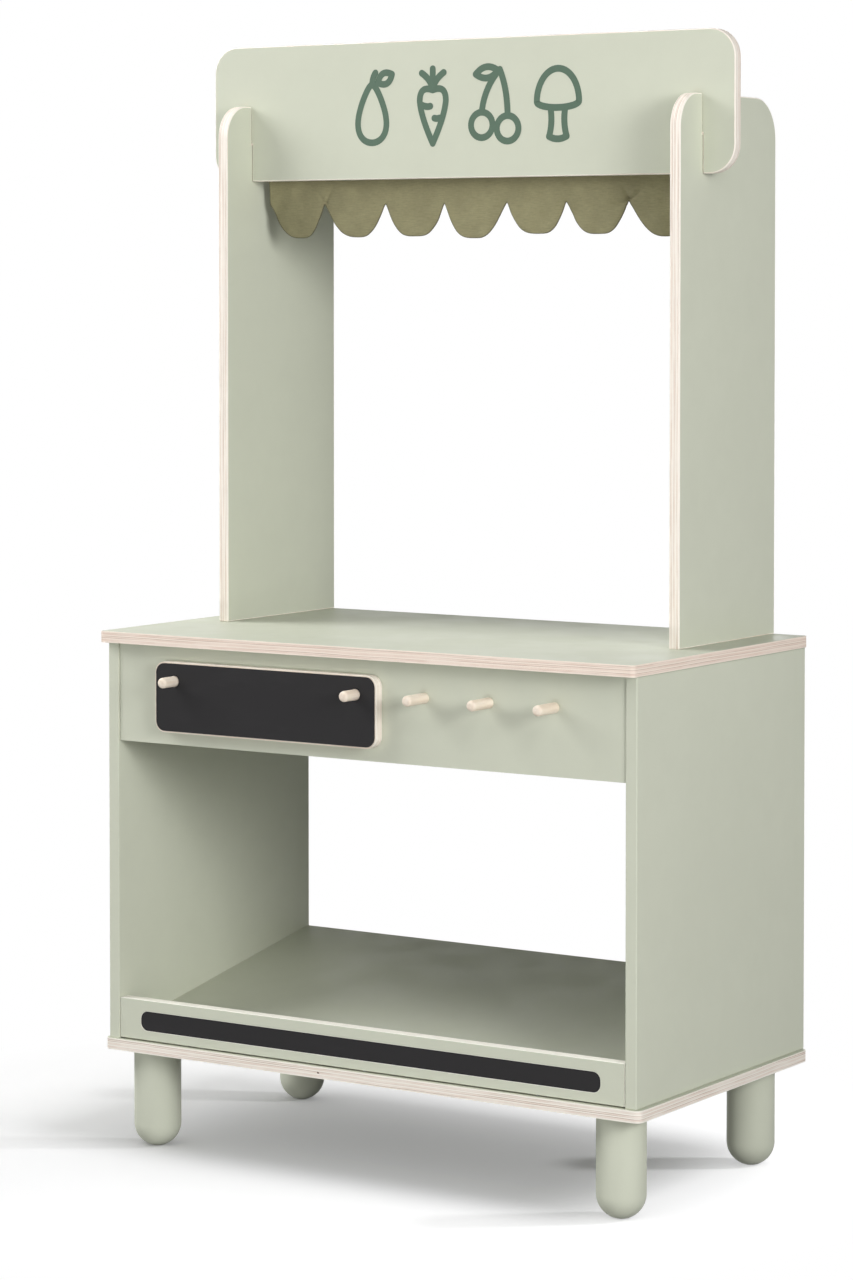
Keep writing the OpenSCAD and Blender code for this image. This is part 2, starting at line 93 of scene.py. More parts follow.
# Turned pieces, and the gap round the pegs in the chalkboard
PEG_TIP_R = 3.5 * MM
PEG_TENON_R = 4 * MM
PEG_EASE = 0.4 * MM
PEG_STEPS = 40
PEG_TIP_STEPS = 8
BOARD_HOLE_GAP = 0.5 * MM
FOOT_CUT = 1 * MM
FOOT_STEPS = 24
LEG_STEPS = 64

# Screws, with the tip as a share of the shank and the shank's start as a share of the head
SCREW_SHANK_R = 2.25 * MM
SCREW_HEAD_H = 2.25 * MM
SCREW_CROSS_W = 1.1 * MM
SCREW_CROSS_L = 4.5 * MM
SCREW_CROSS_DEPTH = 1.2 * MM
SCREW_TIP = 0.25
SCREW_SHANK_START = 0.98
SCREW_STEPS = 32

# Holes, and how far their cutters pass a face
HOLE_CLEARANCE = 0.05 * MM
HOLE_STEPS = 48
CUT_PAST = 1 * MM
TEE_NUT_FLANGE = 1.5 * MM

# Clear plywood edges, with depths in plies
PLIES = 7
PLY_WANDER = 0.13
CROSS_LEAST = 0.4
STREAK_SHARE = 0.16
STREAK_SLIDE = 0.35
GLUE_FULL = 0.06
GLUE_GONE = 0.19
GLUE_LEAST = 0.1
GLUE_BROKEN = 0.42
GLUE_WHOLE = 0.62
VOID_FROM = 0.8
VOID_TO = 0.83

# Range that soft noise mostly keeps to
NOISE_LOW = 0.3
NOISE_HIGH = 0.7

# Valance, measured down from the bottom of the header
SCALLOPS = 7
NOTCH_DROP = 26 * MM
HEM_POINT = 1.3
BEND_FROM = -1 * MM
BEND_TO = 10 * MM
END_SWEEP = 4 * MM
SWEPT_SCALLOPS = 1.2
SWEEP_POWER = 1.5
BELLY = 1.6 * MM
CLOTH_T = 2.0 * MM
SEAM_T = 0.9 * MM
SEAM_PINCH = 4 * MM
# Painted shade along the cloth's turned edge, fading out between these distances from it
SEAM_SHADE_FROM = 0.2 * MM
SEAM_SHADE_TO = 1.3 * MM
SCALLOP_STEPS = 60
HEADING_ROWS = 8
BEND_ROWS = 9
SKIRT_ROWS = 40

# Shift of each notch to the right, in millimetres, ends included
NOTCH_SHIFT = [2.5, 0.7, 4.5, 3.8, 5.9, 2.4, 1.4, 2.5]

# Scallops from left to right: (extra drop, fullness left, fullness right, place of the lowest point)
HEM_SHAPES = [
    (0.8 * MM, 2.9, 3.1, 0.07),
    (0.3 * MM, 2.8, 2.9, 0.07),
    (-0.3 * MM, 3.3, 3.6, -0.01),
    (2.1 * MM, 3.8, 2.6, 0.03),
    (-2.0 * MM, 3.6, 3.3, 0.07),
    (-1.3 * MM, 3.1, 3.8, 0.02),
    (1.7 * MM, 2.5, 2.7, 0.07),
]

# Waves along the hem: (depth, length in scallops, start)
CLOTH_WAVES = [(1.1 * MM, 2.3, 0.8), (0.5 * MM, 0.9, 2.1)]

# Creases that run from a notch: (notch, degrees to the right of straight up, length, depth)
CREASES = [
    (1, 28, 34 * MM, 2.6 * MM), (1, 64, 17 * MM, 2.0 * MM), (1, -32, 20 * MM, 1.8 * MM),
    (2, 38, 14 * MM, 1.2 * MM), (2, -46, 12 * MM, 0.9 * MM), (3, 12, 16 * MM, 1.0 * MM),
    (4, -50, 12 * MM, 1.0 * MM), (5, 44, 16 * MM, 1.2 * MM), (5, -30, 14 * MM, 1.0 * MM),
    (6, -24, 24 * MM, 4.0 * MM), (6, 14, 15 * MM, 2.2 * MM), (6, 54, 26 * MM, 4.2 * MM),
    (6, -66, 16 * MM, 2.0 * MM), (6, -104, 22 * MM, 2.8 * MM)]
CREASE_W = 2.8 * MM
CREASE_START = 0.6
CREASE_FLARE = 0.9

# Crumples all over: (size, depth)
CRUMPLES = [(24 * MM, 1.7 * MM), (10 * MM, 0.55 * MM)]

# Stitches that hold the loop tape on the heading
STITCH_PITCH = 3.4 * MM
STITCH_L = 2.6 * MM
STITCH_W = 0.55 * MM
STITCH_INSET = 2 * MM
STITCH_SLANT = 0.12
STITCH_SEED = 3
STITCH_SIDES = 8
STITCH_RINGS = 6

# Printed line drawings on the header, with the round ends' thickness as a share of the ink's
PRINT_LINE = 7.2 * MM
PRINT_INK = 0.3 * MM
PRINT_LAYER = 0.02 * MM
PRINT_PITCH = 77 * MM
PRINT_SCALE = 1.06
PRINT_RISE = 75 * MM
PRINT_END_T = 0.9
PRINT_END_STEPS = 24
LOOP_STEPS = 56
CURVE_STEPS = 14

# Camera, with its lens in pixels of a picture 1280 high
CAMERA_PLACE = (2.11285, -3.26569, 0.91854)
CAMERA_TILT = math.radians(88.0)
CAMERA_TURN = math.radians(33.2)
CAMERA_SHIFT = -0.1792
LENS_PIXELS = 3730
PICTURE_HEIGHT = 1280
SENSOR = 36

# Floor, which glows with a painted contact shadow, dimmer where ambient occlusion finds the object near, and
# runs out into white between two distances from its middle; and the room's own light
FLOOR_REACH = 9.0
FLOOR_SIDES = 96
FLOOR_LAYER = 1 * MM
FLOOR_SHADE_REACH = 0.3
FLOOR_GLOW_IN_SHADE = 0.05
FLOOR_GLOW_OPEN = 0.62
FLOOR_MIDDLE = (-0.12, 0.0, 0)
FLOOR_WHITE_FROM = 0.42
FLOOR_WHITE_TO = 0.64
AMBIENT = 0.015

# Lamps: (name, place, width, watts)
LAMP_TARGET = (0, 0, 0.6)
FLOOR_LAMP = "floor_key"
FOOT_LAMP = "foot_key"
LAMPS = [
    ("key", (3.8, -1.9, 1.5), 1.6, 86),
    ("side", (2.4, -0.9, 1.2), 1.0, 14),
    ("left", (-2.2, -0.8, 2.2), 2.0, 82),
    ("fill", (-0.6, -3.1, 0.55), 1.0, 9),
    ("low", (0.2, -3.0, 0.16), 0.25, 14),
    ("top_right", (1.7, -1.4, 2.0), 1.2, 8),
    ("top", (-0.4, -0.5, 3.2), 1.6, 11),
    ("back", (-0.8, 3.2, 0.4), 1.6, 32),
    (FLOOR_LAMP, (1.83, -0.16, 1.84), 1.5, 42),
    (FOOT_LAMP, (1.89, 1.23, 1.3), 0.3, 22),
]


def srgb(red, green, blue):
    """A colour written as it shows on a screen, from 0 to 255, as a linear colour with alpha."""
    linear = []
    for level in (red / 255, green / 255, blue / 255):
        linear.append(level / 12.92 if level <= 0.04045 else ((level + 0.055) / 1.055) ** 2.4)
    return (*linear, 1)


# Colours
SAGE = srgb(201, 204, 187)
PLY_PALE = srgb(248, 242, 232)
PLY_CROSS = srgb(236, 222, 209)
PLY_GLUE = srgb(176, 147, 126)
ROSY_PALE = srgb(244, 230, 217)
ROSY_CROSS = srgb(232, 211, 196)
# Cream plies for the fascia and lip edges: partly a clean edge's own colour, partly painted highlight from
# the light above
LIT_CREAM_PALE = srgb(252, 250, 240)
LIT_CREAM_CROSS = srgb(247, 243, 231)
PLY_VOID = srgb(96, 76, 62)
BIRCH_PALE = srgb(238, 227, 212)
BIRCH_DARK = srgb(222, 203, 182)
CHALK_BLACK = srgb(35, 34, 35)
CHALK_DUST = srgb(76, 75, 76)
OLIVE_PALE = srgb(151, 146, 112)
OLIVE_DARK = srgb(112, 106, 74)
# Painted shade along the cloth's turned edge
SEAM_SHADE = srgb(68, 66, 48)
THREAD_OLIVE = srgb(140, 134, 101)
TAPE_BLACK = srgb(30, 30, 31)
TAPE_FIBRE = srgb(58, 58, 60)
ZINC_PALE = srgb(206, 208, 211)
ZINC_DARK = srgb(172, 174, 176)
PRINT_GREEN = srgb(76, 99, 82)
FLOOR_SHOWN = srgb(232, 232, 234)
FLOOR_BOUNCE = srgb(150, 150, 150)


# Node trees

VALUE = "NodeSocketFloat"
WHOLE = "NodeSocketInt"
VECTOR = "NodeSocketVector"
COLOUR = "NodeSocketColor"
MATERIAL = "NodeSocketMaterial"
GEOMETRY = "NodeSocketGeometry"


def link(start, end):
    """Joins an output to an input of the same tree."""
    start.id_data.links.new(start, end)


def add(tree, kind, inputs=None, **settings):
    """A new node, with its settings, and its inputs given as values, as sockets or as lists of sockets."""
    node = tree.nodes.new(kind)
    for name, value in settings.items():
        setattr(node, name, value)
    for name, value in (inputs or {}).items():
        for part in value if isinstance(value, list) else [value]:
            if isinstance(part, bpy.types.NodeSocket):
                link(part, node.inputs[name])
            else:
                node.inputs[name].default_value = part
    return node


def calc(operation, first, second=0.0):
    """One step of arithmetic on values, in the tree of the first."""
    return add(first.id_data, "ShaderNodeMath", {0: first, 1: second}, operation=operation).outputs[0]


def times(first, second):
    """The product of two values."""
    return calc("MULTIPLY", first, second)


def vector_calc(operation, first, second):
    """One step of arithmetic on vectors, of which SCALE takes a value as its second."""
    inputs = {0: first, "Scale" if operation == "SCALE" else 1: second}
    return add(first.id_data, "ShaderNodeVectorMath", inputs, operation=operation).outputs[0]


def vector_of(**sockets):
    """A vector from sockets for its X, Y and Z, of which those left out are 0."""
    tree = next(iter(sockets.values())).id_data
    return add(tree, "ShaderNodeCombineXYZ", sockets).outputs[0]


def blended(share, first, second):
    """A value between two others."""
    return add(first.id_data, "ShaderNodeMix", {0: share, 2: first, 3: second}, data_type="FLOAT").outputs[0]


def mixed(share, first, second):
    """A colour between two others."""
    return add(share.id_data, "ShaderNodeMix", {0: share, 6: first, 7: second}, data_type="RGBA").outputs[2]


def spread(value, low, high, to_low=0.0, to_high=1.0):
    """A value moved from one range to another, smoothly and within its ends."""
    inputs = {"Value": value, "From Min": low, "From Max": high, "To Min": to_low, "To Max": to_high}
    return add(value.id_data, "ShaderNodeMapRange", inputs, interpolation_type="SMOOTHSTEP").outputs[0]


def between(mask, at_none, at_full):
    """A value that follows a mask of 0 to 1."""
    return spread(mask, 0.0, 1.0, at_none, at_full)


def patchy(soft_noise, to_low=0.0, to_high=1.0):
    """Soft noise drawn out over a whole range."""
    return spread(soft_noise, NOISE_LOW, NOISE_HIGH, to_low, to_high)


def cloudy(vector, scale, detail=3.0, roughness=0.5):
    """Soft noise from 0 to 1."""
    inputs = {"Vector": vector, "Scale": scale, "Detail": detail, "Roughness": roughness}
    return add(vector.id_data, "ShaderNodeTexNoise", inputs).outputs[0]


def mapped(vector, **changes):
    """Coordinates that are turned or scaled."""
    return add(vector.id_data, "ShaderNodeMapping", {"Vector": vector, **changes}).outputs[0]


def new_tree(name, inputs, outputs, kind="ShaderNodeTree"):
    """An empty tree, with the sockets that its nodes read and those that they feed."""
    tree = bpy.data.node_groups.new(name, kind)
    for way, sockets in (("INPUT", inputs), ("OUTPUT", outputs)):
        for socket, socket_kind in sockets.items():
            tree.interface.new_socket(socket, in_out=way, socket_type=socket_kind)
    reads = tree.nodes.new("NodeGroupInput").outputs
    feeds = tree.nodes.new("NodeGroupOutput").inputs
    return tree, reads, feeds


def use_group(group, **inputs):
    """A shader group placed in a material, with its inputs by name, of which Vector is a socket."""
    return add(inputs["Vector"].id_data, "ShaderNodeGroup", inputs, node_tree=group).outputs


def uneven_tone_group():
    """A colour that drifts a little lighter and darker over the surface, in large and small patches."""
    finer = 9.0
    small_share = 0.35
    tree, reads, feeds = new_tree(
        "uneven_tone", {"Vector": VECTOR, "Colour": COLOUR, "Scale": VALUE, "Depth": VALUE},
        {"Colour": COLOUR})
    large = cloudy(reads["Vector"], reads["Scale"], detail=2.0)
    small = cloudy(reads["Vector"], times(reads["Scale"], finer), detail=4.0)
    signed = patchy(blended(small_share, large, small), -1.0, 1.0)
    gain = calc("ADD", times(signed, reads["Depth"]), 1.0)
    link(vector_calc("SCALE", reads["Colour"], gain), feeds["Colour"])
    return tree


def fine_tooth_group():
    """The slight unevenness of a sprayed or rolled coat, and its wide patches."""
    wider = 0.03
    tree, reads, feeds = new_tree(
        "fine_tooth", {"Vector": VECTOR, "Scale": VALUE}, {"Height": VALUE, "Patch": VALUE})
    link(cloudy(reads["Vector"], reads["Scale"], detail=2.0), feeds["Height"])
    patch = cloudy(reads["Vector"], times(reads["Scale"], wider))
    link(patchy(patch), feeds["Patch"])
    return tree


def wood_fibre_group():
    """Fibres and slow growth bands of wood, drawn out by the stretch given."""
    band_low = 0.32
    band_high = 0.68
    tree, reads, feeds = new_tree(
        "wood_fibre", {"Vector": VECTOR, "Stretch": VECTOR}, {"Bands": VALUE, "Fibres": VALUE})
    drawn = vector_calc("MULTIPLY", reads["Vector"], reads["Stretch"])
    bands = cloudy(drawn, scale=1.0, detail=4.0, roughness=0.55)
    fibres = cloudy(drawn, scale=7.0, detail=3.0, roughness=0.6)
    link(spread(bands, band_low, band_high), feeds["Bands"])
    link(patchy(fibres), feeds["Fibres"])
    return tree


def plain_weave_group():
    """Threads that pass over and under each other in turn, across the first two coordinates."""
    slub_stretch = (0.05, 0.6, 1)
    tree, reads, feeds = new_tree(
        "plain_weave", {"Vector": VECTOR, "Threads": VALUE}, {"Height": VALUE, "Slub": VALUE})
    counted = vector_calc("SCALE", reads["Vector"], reads["Threads"])
    place = add(tree, "ShaderNodeSeparateXYZ", {0: counted}).outputs
    rounds = []
    cells = []
    for along in ("X", "Y"):
        half_turn = times(calc("FRACT", place[along]), math.pi)
        rounds.append(calc("SINE", half_turn))
        cells.append(calc("FLOOR", place[along]))
    over = calc("FLOORED_MODULO", calc("ADD", *cells), 2.0)
    link(blended(over, *rounds), feeds["Height"])
    slubs = cloudy(vector_calc("MULTIPLY", counted, slub_stretch), scale=1.0)
    link(slubs, feeds["Slub"])
    return tree


UNEVEN_TONE = uneven_tone_group()
FINE_TOOTH = fine_tooth_group()
WOOD_FIBRE = wood_fibre_group()
PLAIN_WEAVE = plain_weave_group()


# Materials

def blank_material(name, **shader_values):
    """A material with one shader, and the piece's own coordinates in its tree."""
    material = bpy.data.materials.new(name)
    material.use_nodes = True
    nodes = material.node_tree.nodes
    for socket, value in shader_values.items():
        nodes["Principled BSDF"].inputs[socket.replace("_", " ")].default_value = value
    return material, nodes.new("ShaderNodeTexCoord").outputs["Object"]


def finish(material, colour, roughness, relief=None, depth=0.0):
    """Ends a material with its colour, its roughness and a relief of some depth."""
    shader = material.node_tree.nodes["Principled BSDF"].inputs
    link(colour, shader["Base Color"])
    link(roughness, shader["Roughness"])
    if relief is not None:
        bump = add(relief.id_data, "ShaderNodeBump", {"Height": relief, "Distance": depth, "Strength": 1.0})
        link(bump.outputs[0], shader["Normal"])
    return material


def attribute(tree, name):
    """A value that the mesh holds at each point."""
    return add(tree, "ShaderNodeAttribute", attribute_name=name).outputs["Fac"]


def coat(name, colour, gloss, drift_scale, drift, tooth_scale, tooth, roughness):
    """A flat coat of paint or ink, with a tone that drifts and a roughness between two values."""
    material, place = blank_material(name, Specular_IOR_Level=gloss)
    tone = use_group(UNEVEN_TONE, Vector=place, Colour=colour, Scale=drift_scale, Depth=drift)
    teeth = use_group(FINE_TOOTH, Vector=place, Scale=tooth_scale)
    return finish(material, tone["Colour"], between(teeth["Patch"], *roughness), teeth["Height"], tooth)


def set_apart(place, number):
    """Coordinates moved far off by a whole number, so that each ply and each glue line has its own grain."""
    step_x = 0.37
    step_z = 0.73
    apart = vector_of(X=times(number, step_x), Z=times(number, step_z))
    return vector_calc("ADD", place, apart)


def glue_lines(place, depth, most):
    """Glue between the plies, which shows in stretches."""
    line = calc("FLOOR", calc("ADD", depth, 0.5))
    aside = calc("ABSOLUTE", calc("SUBTRACT", depth, line))
    stretches = cloudy(set_apart(place, line), scale=5.0)
    shows = spread(stretches, GLUE_BROKEN, GLUE_WHOLE, GLUE_LEAST, most)
    past_first = calc("GREATER_THAN", line, 0.5)
    before_last = calc("LESS_THAN", line, PLIES - 0.5)
    shows = times(shows, times(past_first, before_last))
    return times(spread(aside, GLUE_FULL, GLUE_GONE, 1.0, 0.0), shows)


def ply_edge(name, pale, cross, glue_most):
    """The clear edge of plywood: pale and cross-grained plies in turn, with glue lines and small voids."""
    glue_relief = 0.8
    material, place = blank_material(name, Specular_IOR_Level=0.3)
    through = attribute(material.node_tree, "through")
    wander = patchy(cloudy(place, scale=14.0, detail=2.0), -PLY_WANDER, PLY_WANDER)
    depth = calc("ADD", times(through, PLIES), wander)
    ply = calc("FLOOR", depth)
    crossed = calc("FLOORED_MODULO", ply, 2.0)
    own_place = set_apart(place, ply)
    along = use_group(WOOD_FIBRE, Vector=own_place, Stretch=(24.0, 24.0, 24.0))
    slid = vector_of(Y=times(through, STREAK_SLIDE))
    streaked = vector_calc("ADD", place, slid)
    streaks = use_group(WOOD_FIBRE, Vector=streaked, Stretch=(60.0, 60.0, 60.0))
    tint = times(crossed, between(along["Bands"], CROSS_LEAST, 1.0))
    tone = mixed(tint, pale, cross)
    tone = mixed(times(streaks["Fibres"], STREAK_SHARE), tone, cross)
    glue = glue_lines(place, depth, glue_most)
    tone = mixed(glue, tone, PLY_GLUE)
    holes = cloudy(own_place, scale=90.0, detail=1.0)
    void = times(spread(holes, VOID_FROM, VOID_TO), crossed)
    tone = mixed(void, tone, PLY_VOID)
    relief = calc("SUBTRACT", streaks["Fibres"], times(glue, glue_relief))
    return finish(material, tone, between(streaks["Fibres"], 0.5, 0.62), relief, 0.08 * MM)


def birch(name, stretch):
    """Clear lacquered birch, with its grain drawn out along one direction."""
    material, place = blank_material(name, Specular_IOR_Level=0.35)
    grain = use_group(WOOD_FIBRE, Vector=place, Stretch=stretch)
    tone = BIRCH_PALE
    for part, share in (("Bands", 0.6), ("Fibres", 0.3)):
        tone = mixed(times(grain[part], share), tone, BIRCH_DARK)
    return finish(material, tone, between(grain["Fibres"], 0.42, 0.56), grain["Fibres"], 0.06 * MM)


def chalk_coat():
    """Matt black chalk coat, wiped clean, with a trace of dust."""
    smear_from = 0.5
    smear_to = 0.85
    smear_share = 0.16
    tooth_share = 0.06
    material, place = blank_material("chalk_coat", Specular_IOR_Level=0.15)
    tooth = use_group(FINE_TOOTH, Vector=place, Scale=2200.0)
    wiped = mapped(place, Scale=(9.0, 30.0, 34.0))
    streaks = cloudy(wiped, scale=1.0, detail=5.0, roughness=0.6)
    smears = spread(streaks, smear_from, smear_to)
    in_tooth = times(tooth["Height"], tooth_share)
    dust = calc("ADD", times(smears, smear_share), in_tooth)
    tone = mixed(dust, CHALK_BLACK, CHALK_DUST)
    return finish(material, tone, between(smears, 0.62, 0.8), tooth["Height"], 0.05 * MM)


def olive_cotton():
    """Brushed plain-weave cotton, with painted shade in the gaps of its weave and along its turned edge."""
    slub_from = 0.35
    slub_to = 0.75
    slub_share = 0.35
    gap_shade_share = 0.3
    seam_shade_share = 0.8
    material, _ = blank_material(
        "olive_cotton", Specular_IOR_Level=0.2, Sheen_Weight=0.08, Sheen_Roughness=0.5)
    flat = add(material.node_tree, "ShaderNodeUVMap", uv_map="flat").outputs[0]
    weave = use_group(PLAIN_WEAVE, Vector=flat, Threads=2100.0)
    tone = use_group(UNEVEN_TONE, Vector=flat, Colour=OLIVE_PALE, Scale=38.0, Depth=0.1)
    slubs = spread(weave["Slub"], slub_from, slub_to, 0.0, slub_share)
    cloth = mixed(slubs, tone["Colour"], OLIVE_DARK)
    # Painted shade in the low gaps between the threads
    cloth = mixed(between(weave["Height"], gap_shade_share, 0.0), cloth, OLIVE_DARK)
    # Painted shade along the turned edge
    edge = spread(attribute(material.node_tree, "seam"), SEAM_SHADE_FROM, SEAM_SHADE_TO, seam_shade_share, 0.0)
    cloth = mixed(edge, cloth, SEAM_SHADE)
    return finish(material, cloth, between(weave["Height"], 0.95, 0.82), weave["Height"], 0.12 * MM)


def tape(name, ground, fibre, threads):
    """Woven tape with a nap of small hooks or loops."""
    material, place = blank_material(name, Specular_IOR_Level=0.2)
    upright = mapped(place, Rotation=(math.pi / 2, 0, 0))
    weave = use_group(PLAIN_WEAVE, Vector=upright, Threads=threads)
    tone = mixed(weave["Height"], ground, fibre)
    return finish(material, tone, patchy(weave["Slub"], 0.75, 0.95), weave["Height"], 0.3 * MM)


def sewing_thread():
    """Twisted cotton thread."""
    material, place = blank_material("sewing_thread", Specular_IOR_Level=0.25)
    twist = cloudy(place, scale=2600.0, detail=2.0)
    tone = mixed(patchy(twist), OLIVE_DARK, THREAD_OLIVE)
    return finish(material, tone, patchy(twist, 0.7, 0.9))


def zinc_steel():
    """Zinc plated steel, a little clouded."""
    material, place = blank_material("zinc_steel", Metallic=1.0)
    tooth = use_group(FINE_TOOTH, Vector=place, Scale=3000.0)
    clouds = patchy(cloudy(place, scale=260.0, detail=4.0))
    tone = mixed(clouds, ZINC_PALE, ZINC_DARK)
    return finish(material, tone, between(clouds, 0.28, 0.44), tooth["Height"], 0.02 * MM)


PAINT = coat("sage_paint", SAGE, gloss=0.1, drift_scale=5.0, drift=0.018,
             tooth_scale=700.0, tooth=0.06 * MM, roughness=(0.4, 0.5))
PLY = ply_edge("ply_edge", PLY_PALE, PLY_CROSS, glue_most=1.0)
ROSY_PLY = ply_edge("rosy_ply_edge", ROSY_PALE, ROSY_CROSS, glue_most=0.8)
# Clean cream edge, made paler as a painted highlight from the light above
LIT_CREAM_PLY = ply_edge("lit_cream_ply_edge", LIT_CREAM_PALE, LIT_CREAM_CROSS, glue_most=0.15)
PEG_BIRCH = birch("peg_birch", stretch=(260.0, 14.0, 260.0))
BOARD_BIRCH = birch("board_birch", stretch=(10.0, 160.0, 160.0))
CHALK = chalk_coat()
COTTON = olive_cotton()
HOOKS = tape("hook_nap", TAPE_BLACK, TAPE_FIBRE, threads=900.0)
LOOPS = tape("loop_nap", OLIVE_DARK, OLIVE_PALE, threads=1100.0)
THREAD = sewing_thread()
ZINC = zinc_steel()
INK = coat("print_ink", PRINT_GREEN, gloss=0.35, drift_scale=30.0, drift=0.04,
           tooth_scale=900.0, tooth=0.04 * MM, roughness=(0.45, 0.58))


# Mesh tools

def new_piece(name, shape, *materials):
    """A piece from a worked shape, with smooth faces that point outwards."""
    bmesh.ops.recalc_face_normals(shape, faces=shape.faces)
    mesh = bpy.data.meshes.new(name)
    shape.to_mesh(mesh)
    shape.free()
    mesh.polygons.foreach_set("use_smooth", [True] * len(mesh.polygons))
    for material in materials:
        mesh.materials.append(material)
    piece = bpy.data.objects.new(name, mesh)
    bpy.context.scene.collection.objects.link(piece)
    return piece


def settle(piece):
    """Turns a piece's modifiers into plain mesh."""
    graph = bpy.context.evaluated_depsgraph_get()
    settled = bpy.data.meshes.new_from_object(piece.evaluated_get(graph))
    piece.modifiers.clear()
    piece.data = settled
    settled.name = piece.name


def rounded(corners):
    """An outline from square corners (across, up, radius), with an arc at each that has a radius."""
    outline = []
    for k, (across, up, radius) in enumerate(corners):
        corner = Vector((across, up))
        if radius == 0:
            outline.append(corner)
            continue
        behind = (Vector(corners[k - 1][:2]) - corner).normalized()
        ahead = (Vector(corners[(k + 1) % len(corners)][:2]) - corner).normalized()
        centre = corner + (behind + ahead) * radius
        for step in range(ARC_STEPS + 1):
            turn = math.pi / 2 * step / ARC_STEPS
            outline.append(centre - radius * (ahead * math.cos(turn) + behind * math.sin(turn)))
    return outline


# Which coordinates run across, up and through a panel that is thin along x, y or z
PANEL_AXES = {"x": (1, 2, 0), "y": (0, 2, 1), "z": (0, 1, 2)}


def prism(name, outline, low, high, axis):
    """A closed prism of an outline, from low to high along an axis."""
    across, up, through = PANEL_AXES[axis]
    shape = bmesh.new()
    ends = []
    for depth in (low, high):
        ring = []
        for point in outline:
            place = [0, 0, 0]
            place[across] = point[0]
            place[up] = point[1]
            place[through] = depth
            ring.append(shape.verts.new(place))
        shape.faces.new(ring)
        ends.append(ring)
    for k in range(len(outline)):
        shape.faces.new((ends[0][k - 1], ends[0][k], ends[1][k], ends[1][k - 1]))
    return new_piece(name, shape)


def turned(name, profile, steps, placed, *materials):
    """A shape turned on a lathe from (radius, height) points, pole to pole, and put in its place."""
    shape = bmesh.new()
    rings = []
    for radius, height in profile:
        count = steps if radius > 0 else 1
        ring = []
        for k in range(count):
            turn = 2 * math.pi * k / steps
            ring.append(shape.verts.new((radius * math.cos(turn), radius * math.sin(turn), height)))
        rings.append(ring)
    for lower, upper in zip(rings, rings[1:]):
        for k in range(steps):
            corners = [lower[k % len(lower)], lower[(k + 1) % len(lower)],
                       upper[(k + 1) % len(upper)], upper[k % len(upper)]]
            shape.faces.new(dict.fromkeys(corners))
    shape.transform(placed)
    return new_piece(name, shape, *materials)


def arc(centre_r, centre_h, radius, start, end, steps):
    """Points of an arc for a lathe profile, between two angles above the level."""
    points = []
    for step in range(steps + 1):
        turn = math.radians(start + (end - start) * step / steps)
        points.append((centre_r + radius * math.cos(turn), centre_h + radius * math.sin(turn)))
    return points


def facing_front(x, y, z):
    """Puts a lathe's axis along -Y, from a point."""
    return Matrix.Translation((x, y, z)) @ Matrix.Rotation(math.pi / 2, 4, "X")


def cut(piece, cutters):
    """Takes the cutters out of a piece, and the cutters away."""
    for cutter in cutters:
        hole = piece.modifiers.new("hole", "BOOLEAN")
        hole.object = cutter
        hole.operation = "DIFFERENCE"
        hole.solver = "EXACT"
    settle(piece)
    for cutter in cutters:
        bpy.data.objects.remove(cutter)


def ease(piece, width):
    """Rounds a piece's sharp edges over by a width."""
    bevel = piece.modifiers.new("ease", "BEVEL")
    bevel.width = width
    bevel.segments = EASE_STEPS
    bevel.limit_method = "ANGLE"
    bevel.angle_limit = EASE_ANGLE
    bevel.harden_normals = True
    settle(piece)


def dress_panel(piece, axis, face_finish, edge_finish):
    """Gives flat faces one finish and edges another, and each point its place through the thickness."""
    through = PANEL_AXES[axis][2]
    mesh = piece.data
    mesh.materials.clear()
    mesh.materials.append(face_finish)
    mesh.materials.append(edge_finish)
    for face in mesh.polygons:
        face.material_index = 0 if abs(face.normal[through]) > FLAT_SHARE else 1
    depths = np.array([point.co[through] for point in mesh.vertices])
    shares = (depths - depths.min()) / (depths.max() - depths.min())
    mesh.attributes.new("through", "FLOAT", "POINT").data.foreach_set("value", shares)


def panel(node, axis, corners, ease_width=PLY_EASE, face_finish=PAINT, edge_finish=PLY, cutters=()):
    """A finished panel that stands for a CAD node, from its corners."""
    low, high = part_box(node)
    through = PANEL_AXES[axis][2]
    piece = prism(node + "_panel", rounded(corners), low[through], high[through], axis)
    if cutters:
        cut(piece, cutters)
    ease(piece, ease_width)
    dress_panel(piece, axis, face_finish, edge_finish)
    return piece


def box_corners(node, axis, radius, inset=0, lift=0):
    """The corners of a node's box, seen along an axis, with one radius and seams at its ends and foot."""
    low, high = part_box(node)
    across, up, _ = PANEL_AXES[axis]
    left = low[across] + inset
    right = high[across] - inset
    foot = low[up] + lift
    top = high[up]
    return [(*corner, radius) for corner in ((left, foot), (right, foot), (right, top), (left, top))]


def box_panel(node, axis, radius=0, inset=0, lift=0, **looks):
    """A finished panel with the corners of its node's box."""
    return panel(node, axis, box_corners(node, axis, radius, inset, lift), **looks)


def solids_of(node):
    """The boxes of the separate solids in a CAD node, as (lowest corner, middle, highest corner)."""
    shape = bmesh.new()
    shape.from_mesh(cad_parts[node].data)
    bmesh.ops.remove_doubles(shape, verts=shape.verts, dist=0.001 * MM)
    left = set(shape.verts)
    boxes = []
    while left:
        island = {left.pop()}
        edge_of_island = list(island)
        while edge_of_island:
            point = edge_of_island.pop()
            for edge in point.link_edges:
                other = edge.other_vert(point)
                if other in left:
                    left.discard(other)
                    island.add(other)
                    edge_of_island.append(other)
        places = np.array([point.co for point in island])
        low = Vector(places.min(0))
        high = Vector(places.max(0))
        boxes.append((low, (low + high) / 2, high))
    shape.free()
    return sorted(boxes, key=lambda found: tuple(found[0]))


# Geometry node trees

